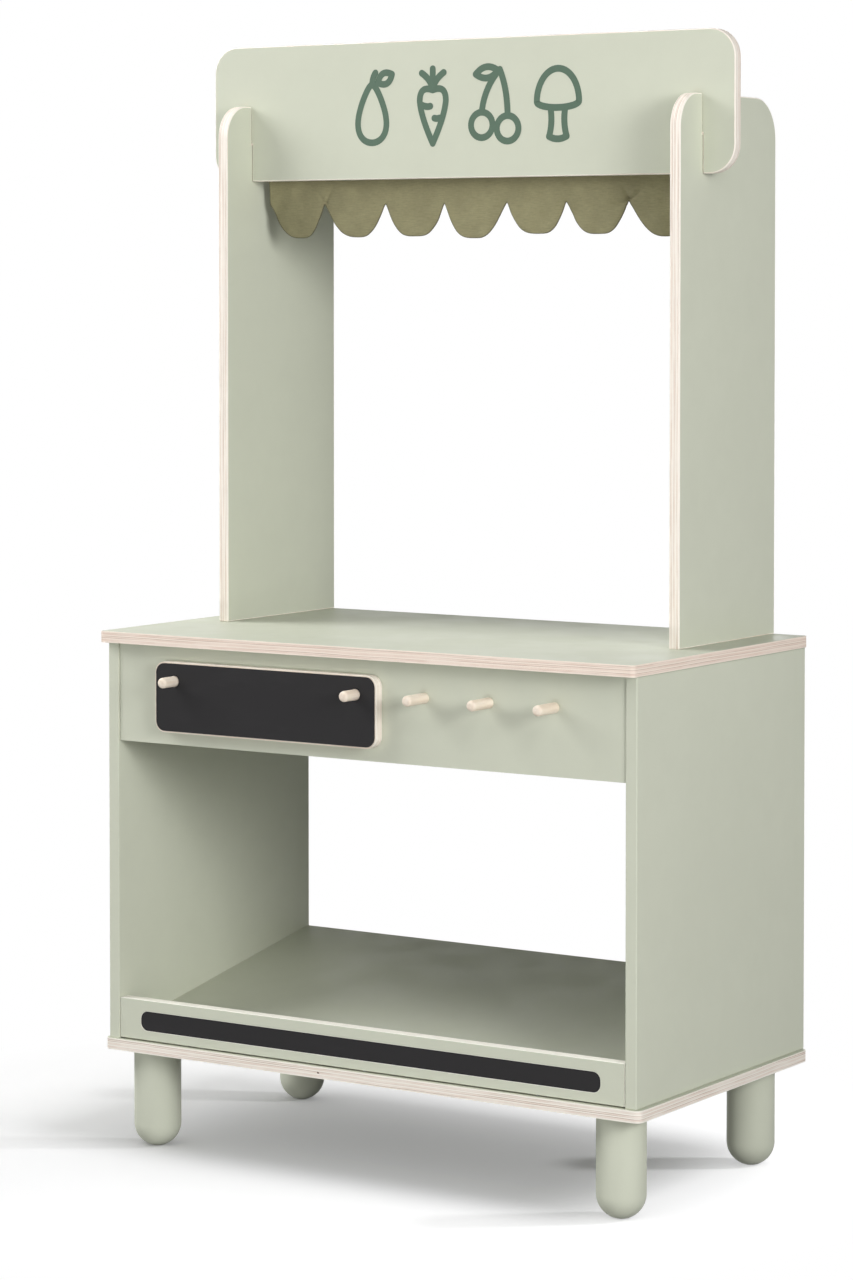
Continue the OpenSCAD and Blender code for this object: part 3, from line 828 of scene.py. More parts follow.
def geometry_tree(name, inputs):
    """An empty geometry tree, with named inputs, its reading sockets and its last socket."""
    tree, reads, feeds = new_tree(
        name, {"Geometry": GEOMETRY, **inputs}, {"Geometry": GEOMETRY}, "GeometryNodeTree")
    return tree, reads, feeds["Geometry"]


def grow(tree, kind, inputs=None, **settings):
    """The first output of a new geometry node."""
    return add(tree, "GeometryNode" + kind, inputs, **settings).outputs[0]


def end_tree(tree, made, material, last):
    """Ends a tree: real geometry, with its material."""
    real = grow(tree, "RealizeInstances", {0: made})
    link(grow(tree, "SetMaterial", {"Geometry": real, "Material": material}), last)


def run_tree(piece, tree, values):
    """Runs a tree on a piece, with its inputs given by name, and keeps the plain mesh."""
    grown = piece.modifiers.new(tree.name, "NODES")
    grown.node_group = tree
    for item in tree.interface.items_tree:
        if item.in_out == "INPUT" and item.name in values:
            grown[item.identifier] = values[item.name]
    settle(piece)


def screw_tree():
    """Countersunk screws that point up, one on each point, each with a cross in its head."""
    tree, reads, last = geometry_tree("countersunk_screws", {
        "Head radius": VALUE, "Head height": VALUE, "Shank radius": VALUE, "Length": VALUE,
        "Cross width": VALUE, "Cross length": VALUE, "Cross depth": VALUE, "Material": MATERIAL})
    head = grow(tree, "MeshCone", {
        "Vertices": SCREW_STEPS, "Radius Bottom": reads["Head radius"], "Radius Top": reads["Shank radius"],
        "Depth": reads["Head height"]})
    shank = grow(tree, "MeshCone", {
        "Vertices": SCREW_STEPS, "Radius Bottom": reads["Shank radius"],
        "Radius Top": times(reads["Shank radius"], SCREW_TIP),
        "Depth": calc("SUBTRACT", reads["Length"], reads["Head height"])})
    start = vector_of(Z=times(reads["Head height"], SCREW_SHANK_START))
    raised = grow(tree, "Transform", {"Geometry": shank, "Translation": start})
    body = grow(tree, "MeshBoolean", {"Mesh 2": [head, raised]}, operation="UNION")
    twice_deep = times(reads["Cross depth"], 2.0)
    slots = []
    for across, along in (("Cross length", "Cross width"), ("Cross width", "Cross length")):
        size = vector_of(X=reads[across], Y=reads[along], Z=twice_deep)
        slots.append(grow(tree, "MeshCube", {"Size": size}))
    crossed = grow(tree, "MeshBoolean", {"Mesh 1": body, "Mesh 2": slots}, operation="DIFFERENCE")
    set_on = grow(tree, "InstanceOnPoints", {"Points": reads["Geometry"], "Instance": crossed})
    end_tree(tree, set_on, reads["Material"], last)
    return tree


def stitch_tree():
    """Stitches along lines that run across, each turned a little by chance."""
    tree, reads, last = geometry_tree("stitch_rows", {
        "Pitch": VALUE, "Stitch length": VALUE, "Stitch width": VALUE, "Slant": VALUE,
        "Seed": WHOLE, "Material": MATERIAL})
    lines = grow(tree, "MeshToCurve", {"Mesh": reads["Geometry"]})
    places = grow(tree, "ResampleCurve", {"Curve": lines, "Length": reads["Pitch"]}, mode="LENGTH")
    ball = grow(tree, "MeshUVSphere", {"Segments": STITCH_SIDES, "Rings": STITCH_RINGS, "Radius": 0.5})
    size = vector_of(X=reads["Stitch length"], Y=reads["Stitch width"], Z=reads["Stitch width"])
    bead = grow(tree, "Transform", {"Geometry": ball, "Scale": size})
    least = times(reads["Slant"], -1.0)
    chance = add(tree, "FunctionNodeRandomValue", {
        2: least, 3: reads["Slant"], "Seed": reads["Seed"]}, data_type="FLOAT").outputs[1]
    set_on = grow(tree, "InstanceOnPoints", {
        "Points": places, "Instance": bead, "Rotation": vector_of(Y=chance)})
    end_tree(tree, set_on, reads["Material"], last)
    return tree


def line_tree():
    """Flat printed lines along the edges of a drawing that lies level, with round ends."""
    tree, reads, last = geometry_tree("printed_lines", {
        "Line width": VALUE, "Ink thickness": VALUE, "Material": MATERIAL})
    lines = grow(tree, "MeshToCurve", {"Mesh": reads["Geometry"]})
    level = grow(tree, "SetCurveNormal", {"Curve": lines}, mode="Z_UP")
    section = grow(tree, "CurvePrimitiveQuadrilateral", {
        "Width": reads["Line width"], "Height": reads["Ink thickness"]})
    bands = grow(tree, "CurveToMesh", {"Curve": level, "Profile Curve": section, "Fill Caps": True})
    cap = grow(tree, "MeshCylinder", {
        "Vertices": PRINT_END_STEPS, "Radius": times(reads["Line width"], 0.5),
        "Depth": times(reads["Ink thickness"], PRINT_END_T)})
    ends = grow(tree, "CurveEndpointSelection")
    closed = grow(tree, "InputSplineCyclic")
    open_ends = add(tree, "FunctionNodeBooleanMath", {0: ends, 1: closed}, operation="NIMPLY").outputs[0]
    caps = grow(tree, "InstanceOnPoints", {"Points": lines, "Selection": open_ends, "Instance": cap})
    joined = grow(tree, "JoinGeometry", {0: [bands, caps]})
    end_tree(tree, joined, reads["Material"], last)
    return tree


# Panels

PEGS = [f"peg_{k}" for k in range(1, 6)]
UPRIGHTS = ["left_upright", "right_upright"]
LEGS = ["leg_front_left", "leg_front_right", "leg_rear_left", "leg_rear_right"]


def bore(radius, start, end):
    """The lathe profile of a plain hole."""
    return [(0, start), (radius, start), (radius, end), (0, end)]


def screw_holes(node):
    """Cutters for the countersunk holes of a node's screws."""
    cutters = []
    for low, middle, high in solids_of(node):
        head_r = (high.x - low.x) / 2 + HOLE_CLEARANCE
        shank_r = SCREW_SHANK_R + HOLE_CLEARANCE
        length = high.z - low.z
        profile = [(0, -CUT_PAST), (head_r, -CUT_PAST), (head_r, 0), (shank_r, SCREW_HEAD_H),
                   (shank_r, length), (0, length)]
        placed = Matrix.Translation((middle.x, middle.y, low.z))
        cutters.append(turned("screw_hole", profile, SCREW_STEPS, placed))
    return cutters


def cam_holes(hand):
    """Cutters for the cam discs in one side panel, on side -1 or 1."""
    cutters = []
    for low, middle, high in solids_of("cam_discs"):
        if middle.x * hand > 0:
            radius = (high.z - low.z) / 2 + HOLE_CLEARANCE
            depth = high.x - low.x + HOLE_CLEARANCE
            face = Matrix.Translation((low.x if hand > 0 else high.x, middle.y, middle.z))
            placed = face @ Matrix.Rotation(hand * math.pi / 2, 4, "Y")
            cutters.append(turned("cam_hole", bore(radius, -CUT_PAST, depth), HOLE_STEPS, placed))
    return cutters


def tee_nut_holes():
    """Cutters for the tee nuts in the base plate."""
    cutters = []
    for low, middle, high in solids_of("leg_tee_nuts"):
        flange_r = (high.x - low.x) / 2 + HOLE_CLEARANCE
        barrel_r = flange_r / 2
        foot = low.z - CUT_PAST
        seat = high.z - TEE_NUT_FLANGE
        top = high.z + CUT_PAST
        profile = [(0, foot), (barrel_r, foot), (barrel_r, seat),
                   (flange_r, seat), (flange_r, top), (0, top)]
        placed = Matrix.Translation((middle.x, middle.y, 0))
        cutters.append(turned("tee_nut_hole", profile, HOLE_STEPS, placed))
    return cutters


def peg_axis(node):
    """Where a peg's axis passes, as (x, z)."""
    low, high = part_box(node)
    return (low.x + high.x) / 2, (low.z + high.z) / 2


def peg_holes(nodes, radius, from_y, to_y):
    """Cutters along the pegs' axes, between two depths."""
    cutters = []
    for node in nodes:
        x, z = peg_axis(node)
        placed = facing_front(x, to_y, z)
        cutters.append(turned("peg_hole", bore(radius, 0, to_y - from_y), HOLE_STEPS, placed))
    return cutters


def make_cabinet():
    """The base plate, the counter, the sides, the fascia and the lip."""
    fascia_low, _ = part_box("front_fascia")
    _, tenon_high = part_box(PEGS[0])
    strip_low, strip_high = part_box("lip_chalk_strip")
    made = {}
    base_holes = screw_holes("base_screws") + tee_nut_holes()
    made["base_plate"] = box_panel("base_plate", "z", BASE_R, cutters=base_holes)
    counter_holes = screw_holes("upright_screws")
    made["counter_top"] = box_panel("counter_top", "z", COUNTER_R,
                                    edge_finish=ROSY_PLY, cutters=counter_holes)
    for node, hand in (("left_side", -1), ("right_side", 1)):
        made[node] = box_panel(node, "x", ease_width=SIDE_EASE, edge_finish=PAINT, cutters=cam_holes(hand))
    # The inner panels' edges are cream, partly their own colour and partly painted highlight
    inner_looks = {"inset": SEAM_SIDE, "ease_width": INNER_EASE, "edge_finish": LIT_CREAM_PLY}
    fascia_holes = peg_holes(PEGS, PEG_TENON_R + HOLE_CLEARANCE, fascia_low.y - CUT_PAST, tenon_high.y)
    made["front_fascia"] = box_panel("front_fascia", "y", cutters=fascia_holes, **inner_looks)
    strip_outline = rounded(box_corners("lip_chalk_strip", "y", STRIP_R))
    pocket = prism("strip_pocket", strip_outline, strip_low.y - CUT_PAST, strip_high.y, "y")
    made["front_lip"] = box_panel("front_lip", "y", lift=SEAM_UNDER, cutters=[pocket], **inner_looks)
    return made


def make_shelf():
    """The display shelf, made level and then tipped up towards the back."""
    low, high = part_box("display_shelf")
    counter_low, counter_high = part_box("counter_top")
    thickness = counter_high.z - counter_low.z
    front_y = low.y + thickness * math.sin(SHELF_SLOPE)
    length = (high.y - front_y) / math.cos(SHELF_SLOPE)
    outline = [(low.x, 0), (high.x, 0), (high.x, length), (low.x, length)]
    shelf = prism("display_shelf_panel", outline, 0, thickness, "z")
    ease(shelf, INNER_EASE)
    dress_panel(shelf, "z", PAINT, PLY)
    shelf.data.transform(Matrix.Translation((0, front_y, low.z)) @ Matrix.Rotation(SHELF_SLOPE, 4, "X"))
    return shelf


def make_uprights():
    """The two uprights, each with a slot from its top for the header."""
    header_low, header_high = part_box("header_board")
    front = header_low.y - LAP_GAP
    back = header_high.y + LAP_GAP
    made = {}
    for node in UPRIGHTS:
        low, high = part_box(node)
        lap_z = (header_low.z + high.z) / 2
        made[node] = panel(node, "x", [
            (low.y, low.z, 0), (high.y, low.z, 0), (high.y, high.z, UPRIGHT_REAR_R),
            (back, high.z, 0), (back, lap_z, 0), (front, lap_z, 0), (front, high.z, 0),
            (low.y, high.z, UPRIGHT_FRONT_R)])
    return made


def make_header():
    """The header board, with a slot from its bottom for each upright."""
    low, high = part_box("header_board")
    bottom = []
    for node in UPRIGHTS:
        upright_low, upright_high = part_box(node)
        left = upright_low.x - LAP_GAP
        right = upright_high.x + LAP_GAP
        lap_z = (low.z + upright_high.z) / 2
        bottom += [(left, low.z, 0), (left, lap_z, 0), (right, lap_z, 0), (right, low.z, 0)]
    return panel("header_board", "y", [
        (low.x, low.z, HEADER_R), *bottom, (high.x, low.z, HEADER_R),
        (high.x, high.z, HEADER_R), (low.x, high.z, HEADER_R)])


# Chalk surfaces

def chalk_panel(node, radius, cutters=()):
    """A thin black panel that stands for a CAD node."""
    return box_panel(node, "y", radius, ease_width=CHALK_EASE, face_finish=CHALK, edge_finish=CHALK,
                     cutters=cutters)


def make_chalkboard():
    """The hung board and its black face, both with two holes for the pegs."""
    board_low, board_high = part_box("chalkboard_panel")
    face_low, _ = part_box("chalkboard_face")
    hung = [node for node in PEGS if board_low.x < peg_axis(node)[0] < board_high.x]
    peg_low, peg_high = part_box(PEGS[0])
    hole_r = (peg_high.x - peg_low.x) / 2 + BOARD_HOLE_GAP
    border = face_low.x - board_low.x
    board_holes = peg_holes(hung, hole_r, board_low.y - CUT_PAST, board_high.y + CUT_PAST)
    board = box_panel("chalkboard_panel", "y", BOARD_R, ease_width=CHALK_EASE, face_finish=BOARD_BIRCH,
                      cutters=board_holes)
    face_holes = peg_holes(hung, hole_r, face_low.y - CUT_PAST, board_high.y)
    return board, chalk_panel("chalkboard_face", BOARD_R - border, face_holes)


# Turned pieces

def sharpen(piece, degrees):
    """Keeps edges crisp where a piece turns by more than an angle."""
    piece.data.set_sharp_from_angle(angle=math.radians(degrees))


def make_pegs():
    """Five birch pegs, each with a tenon in the fascia and a rounded tip."""
    fascia_low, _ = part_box("front_fascia")
    made = {}
    for node in PEGS:
        low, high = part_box(node)
        x, z = peg_axis(node)
        radius = (high.x - low.x) / 2
        out = fascia_low.y - low.y
        tenon = high.y - fascia_low.y
        profile = [(0, -tenon), (PEG_TENON_R, -tenon), (PEG_TENON_R, 0),
                   *arc(radius - PEG_EASE, PEG_EASE, PEG_EASE, -90, 0, EASE_STEPS),
                   *arc(radius - PEG_TIP_R, out - PEG_TIP_R, PEG_TIP_R, 0, 90, PEG_TIP_STEPS), (0, out)]
        placed = facing_front(x, fascia_low.y, z)
        made[node] = turned(node + "_turned", profile, PEG_STEPS, placed, PEG_BIRCH)
        sharpen(made[node], CRISP_TURNED)
    return made


def make_legs():
    """Four painted legs with bullet feet."""
    made = {}
    for node in LEGS:
        low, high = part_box(node)
        radius = (high.x - low.x) / 2
        middle = (low + high) / 2
        foot = radius - FOOT_CUT
        flat = math.degrees(math.asin(foot / radius))
        profile = [(0, 0), *arc(0, foot, radius, -flat, 0, FOOT_STEPS),
                   *arc(radius - INNER_EASE, high.z - INNER_EASE, INNER_EASE, 0, 90, EASE_STEPS),
                   (0, high.z)]
        placed = Matrix.Translation((middle.x, middle.y, 0))
        made[node] = turned(node + "_turned", profile, LEG_STEPS, placed, PAINT)
        sharpen(made[node], CRISP_TURNED)
    return made


# Hardware

def make_screws(node, tree):
    """Screws on the places of a node's screws."""
    boxes = solids_of(node)
    low, _, high = boxes[0]
    shape = bmesh.new()
    for screw_low, middle, _ in boxes:
        shape.verts.new((middle.x, middle.y, screw_low.z))
    screws = new_piece(node + "_set", shape)
    run_tree(screws, tree, {
        "Head radius": (high.x - low.x) / 2, "Head height": SCREW_HEAD_H, "Shank radius": SCREW_SHANK_R,
        "Length": high.z - low.z, "Cross width": SCREW_CROSS_W, "Cross length": SCREW_CROSS_L,
        "Cross depth": SCREW_CROSS_DEPTH, "Material": ZINC})
    sharpen(screws, CRISP_HARDWARE)
    return screws


# Valance

def smooth(share):
    """A share that eases in and out between 0 and 1."""
    held = np.clip(share, 0, 1)
    return held * held * (3 - 2 * held)


def hem_drop(along, scallop_w, deepest):
    """Distance from the bottom of the header to the hem, along the cloth."""
    past_notch = 0.001
    scallop = np.minimum(np.floor(along / scallop_w + past_notch), SCALLOPS - 1).astype(int)
    place = np.clip(along / scallop_w - scallop - 0.5, -0.5, 0.5)
    extra, full_left, full_right, lowest = np.array(HEM_SHAPES)[scallop].T
    on_left = place < lowest
    out = np.where(on_left, (lowest - place) / (lowest + 0.5), (place - lowest) / (0.5 - lowest))
    fullness = 1 - np.clip(out, 0, 1) ** np.where(on_left, full_left, full_right)
    return NOTCH_DROP + (deepest - NOTCH_DROP + extra) * fullness ** HEM_POINT


def crease(aside, above, degrees, length, depth):
    """How far one crease pulls the cloth back, at places beside and above its notch."""
    turn = math.radians(degrees)
    out = aside * math.sin(turn) + above * math.cos(turn)
    off = aside * math.cos(turn) - above * math.sin(turn)
    share = np.clip(out / length, 0, 1)
    width = CREASE_W * (CREASE_START + CREASE_FLARE * share)
    return depth * np.exp(-(off / width) ** 2) * smooth(out / CREASE_W) * (1 - share)


def crumpled(along, drop, size):
    """Soft unevenness of cloth that was folded, from -1 to 1."""
    heights = [noise.noise((x / size, z / size, 0)) for x, z in zip(along.ravel(), drop.ravel())]
    return np.array(heights).reshape(along.shape)


def cloth_form(along, drop, width, deepest):
    """How far the cloth stands back from its plane, at places along it and below the header."""
    scallop_w = width / SCALLOPS
    down = np.clip(drop / deepest, 0, 1)
    from_end = np.minimum(along, width - along)
    swept = np.clip(1 - from_end / (SWEPT_SCALLOPS * scallop_w), 0, 1)
    back = END_SWEEP * swept ** SWEEP_POWER * down
    place = np.mod(along / scallop_w, 1) - 0.5
    back = back - BELLY * np.cos(np.pi * place) * smooth(down)
    for depth, length, start in CLOTH_WAVES:
        back = back + depth * np.sin(2 * np.pi * along / (length * scallop_w) + start) * down
    freed = smooth(drop / BEND_TO)
    for notch, degrees, length, depth in CREASES:
        back = back + freed * crease(along - notch * scallop_w, NOTCH_DROP - drop, degrees, length, depth)
    for size, depth in CRUMPLES:
        back = back + freed * depth * crumpled(along, drop, size)
    return back


def make_valance():
    """One cloth: a heading on the back of the header, and a scalloped skirt that hangs below it."""
    heading_low, heading_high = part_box("valance_heading")
    skirt_low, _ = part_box("valance_skirt")
    header_low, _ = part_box("header_board")
    width = heading_high.x - heading_low.x
    plane_y = (heading_low.y + heading_high.y) / 2
    heading_h = heading_high.z - header_low.z
    deepest = header_low.z - skirt_low.z
    along = np.linspace(0, width, SCALLOPS * SCALLOP_STEPS + 1)
    hem = hem_drop(along, width / SCALLOPS, deepest)
    heading = np.linspace(-heading_h, BEND_FROM, HEADING_ROWS, endpoint=False)
    bend = np.linspace(BEND_FROM, BEND_TO, BEND_ROWS, endpoint=False)
    above = np.concatenate([heading, bend])[:, None] + 0 * along
    shares = np.linspace(0, 1, SKIRT_ROWS)[:, None]
    drop = np.concatenate([above, BEND_TO + (hem - BEND_TO) * shares])
    along = along + 0 * drop
    back = cloth_form(along, drop, width, deepest)
    shift = MM * np.interp(along[0], np.linspace(0, width, SCALLOPS + 1), NOTCH_SHIFT)
    middle = np.stack([along - width / 2 + shift, plane_y + back, header_low.z - drop], axis=-1)
    normal = np.cross(np.gradient(middle, axis=0), np.gradient(middle, axis=1))
    normal /= np.linalg.norm(normal, axis=-1, keepdims=True)
    to_hem = (hem - drop) / np.hypot(1, np.gradient(hem, along[0]))
    to_end = np.minimum(along, width - along)
    to_seam = np.minimum(np.minimum(to_hem, to_end), drop + heading_h)
    thick = SEAM_T + (CLOTH_T - SEAM_T) * smooth(to_seam / SEAM_PINCH)
    offset = normal * thick[..., None] / 2
    valance = cloth_piece("valance_cloth", middle - offset, middle + offset, COTTON)
    flat = np.stack([along, -drop], axis=-1).reshape(-1, 2)
    lay_flat(valance, np.concatenate([flat, flat]))
    # Distance to the turned edge, which the cotton reads for its painted shade
    seam = np.tile(np.maximum(to_seam, 0).ravel(), 2)
    valance.data.attributes.new("seam", "FLOAT", "POINT").data.foreach_set("value", seam)
    area = width * float(np.mean(hem + heading_h))
    return valance, (width, heading_h + float(hem.max())), area


def cloth_piece(name, one_side, other_side, material):
    """A closed piece from the points of a cloth's two sides, given in rows."""
    rows, columns, _ = one_side.shape
    count = rows * columns
    at = np.arange(count).reshape(rows, columns)
    faces = []
    for r in range(rows - 1):
        for c in range(columns - 1):
            corners = (at[r, c], at[r, c + 1], at[r + 1, c + 1], at[r + 1, c])
            faces.append(corners)
            faces.append([count + k for k in reversed(corners)])
    rim = [*at[0], *at[1:, -1], *at[-1, -2::-1], *at[-2:0:-1, 0]]
    for k in range(len(rim)):
        faces.append((rim[k], rim[k - 1], count + rim[k - 1], count + rim[k]))
    shape = bmesh.new()
    for point in np.concatenate([one_side.reshape(-1, 3), other_side.reshape(-1, 3)]):
        shape.verts.new(point)
    shape.verts.ensure_lookup_table()
    for face in faces:
        shape.faces.new([shape.verts[k] for k in face])
    piece = new_piece(name, shape, material)
    sharpen(piece, CRISP_CLOTH)
    return piece


def lay_flat(piece, flat):
    """Gives each point its place on the cloth as it was cut."""
    layer = piece.data.uv_layers.new(name="flat")
    for loop in piece.data.loops:
        layer.data[loop.index].uv = flat[loop.vertex_index]


def make_stitches():
    """Two rows of stitches through the heading, along the edges of the loop tape on it."""
    tape_low, tape_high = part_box("loop_tape")
    heading_low, heading_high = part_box("valance_heading")
    y = (heading_low.y + heading_high.y) / 2 + CLOTH_T / 2
    shape = bmesh.new()
    for z in (tape_low.z + STITCH_INSET, tape_high.z - STITCH_INSET):
        ends = [shape.verts.new((x, y, z)) for x in (tape_low.x + STITCH_INSET, tape_high.x - STITCH_INSET)]
        shape.edges.new(ends)
    stitches = new_piece("heading_stitches", shape)
    run_tree(stitches, stitch_tree(), {
        "Pitch": STITCH_PITCH, "Stitch length": STITCH_L, "Stitch width": STITCH_W, "Slant": STITCH_SLANT,
        "Seed": STITCH_SEED, "Material": THREAD})
    return stitches


# Line drawings of market goods, in millimetres about the middle of each

def loop(across, up):
    """A closed line from two functions of the turn."""
    turns = [2 * math.pi * k / LOOP_STEPS for k in range(LOOP_STEPS)]
    return [(across(turn), up(turn)) for turn in turns], True


def curve(start, pull, end):
    """An open line that bends from start to end, pulled towards a point."""
    points = []
    for k in range(CURVE_STEPS + 1):
        t = k / CURVE_STEPS
        weights = ((1 - t) ** 2, 2 * t * (1 - t), t * t)
        points.append(tuple(sum(w * c for w, c in zip(weights, held)) for held in zip(start, pull, end)))
    return points, False


def leaf(start, end, plump):
    """The two sides of a leaf between two points."""
    base = Vector(start)
    tip = Vector(end)
    aside = (tip - base).orthogonal().normalized() * 2 * plump
    middle = (base + tip) / 2
    return [curve(start, middle + aside, end), curve(start, middle - aside, end)]


def root(width, top, tip):
    """The two sides of a root that tapers from a round top to its tip."""
    rise = 1 / 3
    fall = 0.7
    fullness = 0.9
    sides = []
    for hand in (-1, 1):
        widest = (hand * width, top - width * fall)
        shoulder, _ = curve((0, top), (hand * width, top + width * rise), widest)
        taper, _ = curve(widest, (hand * width * fullness, (top + tip) / 2), (0, tip))
        sides.append((shoulder + taper[1:], False))
    return sides


def pear():
    """A pear with its stem and a leaf."""
    return [
        loop(lambda t: 23 * math.sin(t) * (0.69 + 0.31 * math.cos(t)), lambda t: -29 * math.cos(t) - 5),
        curve((0, 24), (0, 31), (4, 36)),
        *leaf((7, 26), (24, 34), 5.5)]


def carrot():
    """A carrot with its tops and two marks."""
    return [
        *root(15.5, 17, -36),
        curve((0, 18), (-3, 28), (-13, 34)),
        curve((0, 18), (0, 28), (0, 38)),
        curve((0, 18), (3, 28), (13, 34)),
        curve((-12, 2), (-7, 0), (-3, 1)),
        curve((2, -11), (5, -12), (8, -11))]


def cherries():
    """Two cherries on one stalk, with a leaf."""
    return [
        loop(lambda t: -15 + 12.5 * math.cos(t), lambda t: -19 + 12.5 * math.sin(t)),
        loop(lambda t: 15 + 12.5 * math.cos(t), lambda t: -23 + 12.5 * math.sin(t)),
        curve((-15, -6.5), (-12, 18), (6, 35)),
        curve((15, -10.5), (15, 15), (6, 35)),
        *leaf((4, 34), (-22, 31), 5.5)]


def mushroom():
    """A mushroom with its cap and stem."""
    return [
        loop(lambda t: 24 * math.cos(t), lambda t: 2 + (32 if math.sin(t) > 0 else 6) * math.sin(t)),
        curve((-8, -6), (-6, -20), (-10, -32)),
        curve((8, -6), (6, -20), (10, -32)),
        curve((-10, -32), (0, -37), (10, -32))]


def make_print():
    """Four line drawings of market goods in a row on the front of the header."""
    low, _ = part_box("header_board")
    drawings = [pear(), carrot(), cherries(), mushroom()]
    shape = bmesh.new()
    for k, drawing in enumerate(drawings):
        shift = (k - (len(drawings) - 1) / 2) * PRINT_PITCH
        for layer, (points, closed) in enumerate(drawing):
            placed = []
            for x, y in points:
                flat = (shift + x * PRINT_SCALE * MM, y * PRINT_SCALE * MM, layer * PRINT_LAYER)
                placed.append(shape.verts.new(flat))
            for first, second in zip(placed, placed[1:]):
                shape.edges.new((first, second))
            if closed:
                shape.edges.new((placed[-1], placed[0]))
    drawn = new_piece("header_print", shape)
    run_tree(drawn, line_tree(), {"Line width": PRINT_LINE, "Ink thickness": PRINT_INK, "Material": INK})
    on_header = Matrix.Translation((0, low.y, low.z + PRINT_RISE))
    drawn.data.transform(on_header @ Matrix.Rotation(math.pi / 2, 4, "X"))
    sharpen(drawn, CRISP_HARDWARE)
    return drawn


# Assembly

def fit(pieces, body):
    """Puts pieces in the place of the CAD nodes that they are named for."""
    for node, piece in pieces.items():
        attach(piece, body)
        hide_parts(node)


cabinet = make_cabinet()
fit(cabinet, "stall")
fit({"display_shelf": make_shelf()}, "stall")
fit(make_uprights(), "stall")
fit({"header_board": make_header()}, "header")
fit({"lip_chalk_strip": chalk_panel("lip_chalk_strip", STRIP_R)}, "stall")

board, board_face = make_chalkboard()
fit({"chalkboard_panel": board}, "chalkboard")
fit({"chalkboard_face": board_face}, "chalkboard")

fit(make_pegs(), "stall")
turned_legs = make_legs()
fit(turned_legs, "stall")

screws = screw_tree()
fit({node: make_screws(node, screws) for node in ("base_screws", "upright_screws")}, "stall")

valance, valance_flat, valance_area = make_valance()
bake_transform(valance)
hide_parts("valance_heading", "valance_skirt")
stitches = make_stitches()
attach(stitches, "header")

header_print = make_print()
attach(header_print, "header")

KEPT_NODES = {
    HOOKS: ["hook_tape"],
    LOOPS: ["loop_tape"],
    ZINC: ["leg_bolts", "leg_tee_nuts", "cam_bolts", "cam_discs"],
    PEG_BIRCH: ["carcass_dowels", "fascia_dowels", "lip_dowels", "shelf_dowels", "upright_dowels"],
}
for material, nodes in KEPT_NODES.items():
    for node in nodes:
        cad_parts[node].data.materials.clear()
        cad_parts[node].data.materials.append(material)


# Stage

def sees_white(tree):
    """1 on the rays that show the stage itself: to the camera, in gloss and through glass."""
    path = tree.nodes.new("ShaderNodeLightPath").outputs
    shown = calc("MAXIMUM", path["Is Camera Ray"], path["Is Glossy Ray"])
    return calc("MAXIMUM", shown, path["Is Transmission Ray"])


def shown_floor_material():
    """A pale floor that takes the lamps' shadow near the object, glows with a painted contact shadow from
    ambient occlusion, and runs out into white.
    """
    material, _ = blank_material("shown_floor")
    tree = material.node_tree
    tree.nodes.clear()
    pale = add(tree, "ShaderNodeBsdfDiffuse", {"Color": FLOOR_SHOWN}).outputs[0]
    # Ambient occlusion dims the floor's glow under the object: a painted contact shadow
    unshaded_share = add(tree, "ShaderNodeAmbientOcclusion", {"Distance": FLOOR_SHADE_REACH}).outputs["AO"]
    strength = add(tree, "ShaderNodeMapRange", {
        "Value": unshaded_share, "To Min": FLOOR_GLOW_IN_SHADE, "To Max": FLOOR_GLOW_OPEN}).outputs[0]
    lift = add(tree, "ShaderNodeEmission", {"Strength": strength}).outputs[0]
    white = add(tree, "ShaderNodeEmission", {"Strength": 1.0}).outputs[0]
    glowing = add(tree, "ShaderNodeAddShader", {0: pale, 1: lift}).outputs[0]
    place = tree.nodes.new("ShaderNodeTexCoord").outputs["Object"]
    away = add(tree, "ShaderNodeVectorMath", {0: place, 1: FLOOR_MIDDLE}, operation="DISTANCE")
    far = spread(away.outputs["Value"], FLOOR_WHITE_FROM, FLOOR_WHITE_TO)
    shown = add(tree, "ShaderNodeMixShader", {0: far, 1: glowing, 2: white}).outputs[0]
    add(tree, "ShaderNodeOutputMaterial", {"Surface": shown})
    return material


def lighting_floor_material():
    """The same floor as the object is lit by it."""
    return blank_material("lighting_floor", Base_Color=FLOOR_BOUNCE, Roughness=1.0)[0]


def floor_disc(name, level, material):
    """A level disc under the object."""
    shape = bmesh.new()
    bmesh.ops.create_circle(shape, cap_ends=True, segments=FLOOR_SIDES, radius=FLOOR_REACH)
    shape.transform(Matrix.Translation((0, 0, level)))
    floor = new_piece(name, shape, material)
    return floor


def make_floor():
    """A floor in two layers: one that is seen, and one that throws light back on the object."""
    shown = floor_disc("shown_floor", 0, shown_floor_material())
    shown.visible_diffuse = False
    shown.visible_shadow = False
    lighting = floor_disc("lighting_floor", -FLOOR_LAYER, lighting_floor_material())
    lighting.visible_camera = False
    lighting.visible_glossy = False
    lighting.visible_transmission = False
    return shown


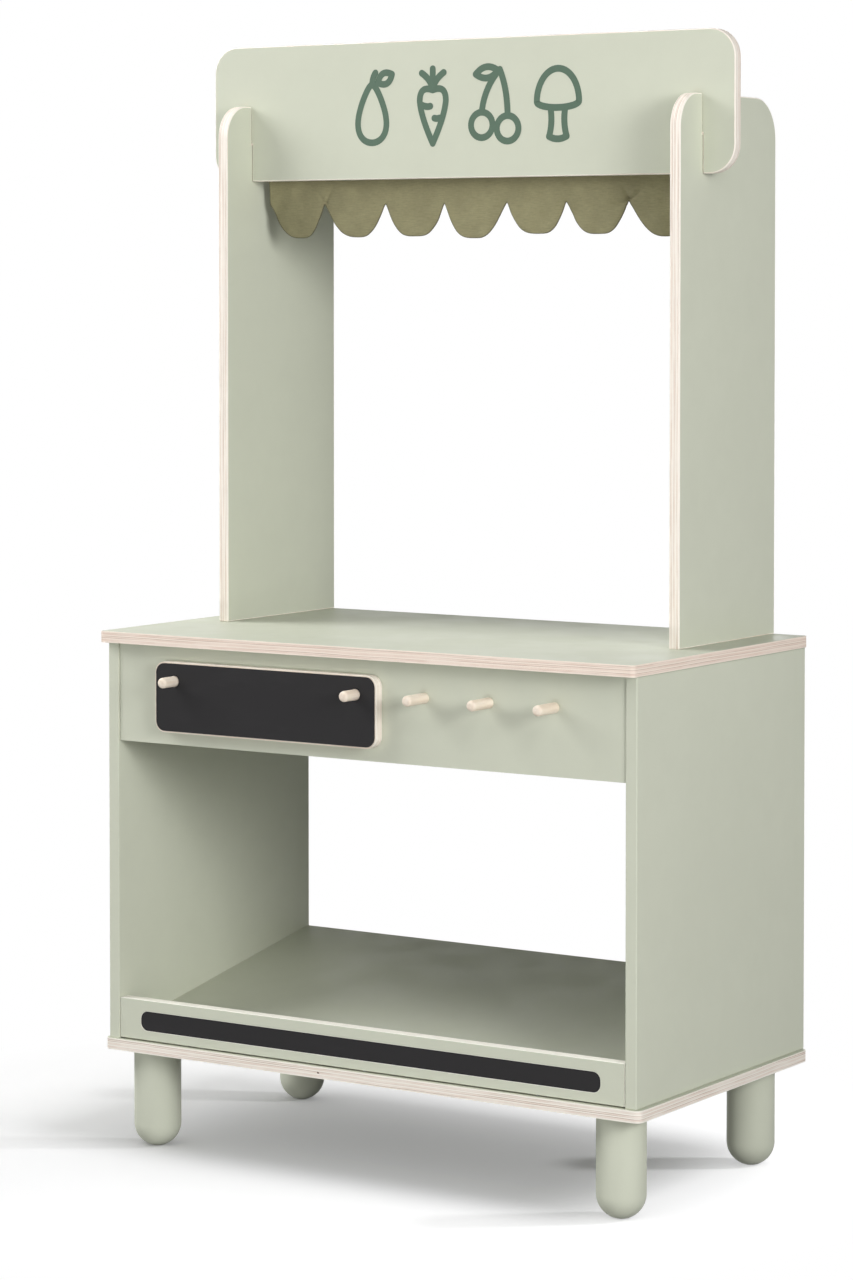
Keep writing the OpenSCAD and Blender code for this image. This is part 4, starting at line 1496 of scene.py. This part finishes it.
def make_world():
    """A white room, which lights the object less than it shows."""
    world = bpy.data.worlds.new("white_room")
    world.use_nodes = True
    tree = world.node_tree
    tree.nodes.clear()
    strength = add(tree, "ShaderNodeMapRange", {
        "Value": sees_white(tree), "To Min": AMBIENT, "To Max": 1.0}).outputs[0]
    room = add(tree, "ShaderNodeBackground", {"Color": (1, 1, 1, 1), "Strength": strength}).outputs[0]
    add(tree, "ShaderNodeOutputWorld", {"Surface": room})
    bpy.context.scene.world = world


def linked(name, state, pieces):
    """A collection that keeps a lamp to some pieces, or from them."""
    group = bpy.data.collections.new(name)
    for piece in pieces:
        group.objects.link(piece)
    for member in group.collection_objects:
        member.light_linking.link_state = state
    return group


def make_lamps(floor, shaded_by):
    """Large soft lamps for the object, and lamps for the floor alone, each shaded by the pieces given."""
    all_but_floor = linked("all_but_floor", "EXCLUDE", [floor])
    only_floor = linked("only_floor", "INCLUDE", [floor])
    for name, place, width, watts in LAMPS:
        lamp = bpy.data.lights.new(name, "AREA")
        lamp.shape = "DISK"
        lamp.size = width
        lamp.energy = watts
        holder = bpy.data.objects.new(name, lamp)
        holder.location = place
        holder.rotation_euler = (Vector(LAMP_TARGET) - Vector(place)).to_track_quat("-Z", "Y").to_euler()
        if name in shaded_by:
            holder.light_linking.receiver_collection = only_floor
            holder.light_linking.blocker_collection = linked(name + "_shade", "INCLUDE", shaded_by[name])
        else:
            holder.light_linking.receiver_collection = all_but_floor
        bpy.context.scene.collection.objects.link(holder)


def make_camera():
    """A camera with a long lens, at a child's eye height to the right of the front."""
    camera = bpy.data.cameras.new("camera")
    camera.sensor_width = SENSOR
    camera.lens = SENSOR * LENS_PIXELS / PICTURE_HEIGHT
    camera.shift_y = CAMERA_SHIFT
    holder = bpy.data.objects.new("camera", camera)
    holder.location = CAMERA_PLACE
    holder.rotation_euler = (CAMERA_TILT, 0, CAMERA_TURN)
    bpy.context.scene.collection.objects.link(holder)
    bpy.context.scene.camera = holder


floor = make_floor()
make_world()
make_lamps(floor, {FLOOR_LAMP: [cabinet["base_plate"]], FOOT_LAMP: turned_legs.values()})
make_camera()
bpy.context.scene.view_settings.view_transform = "Standard"
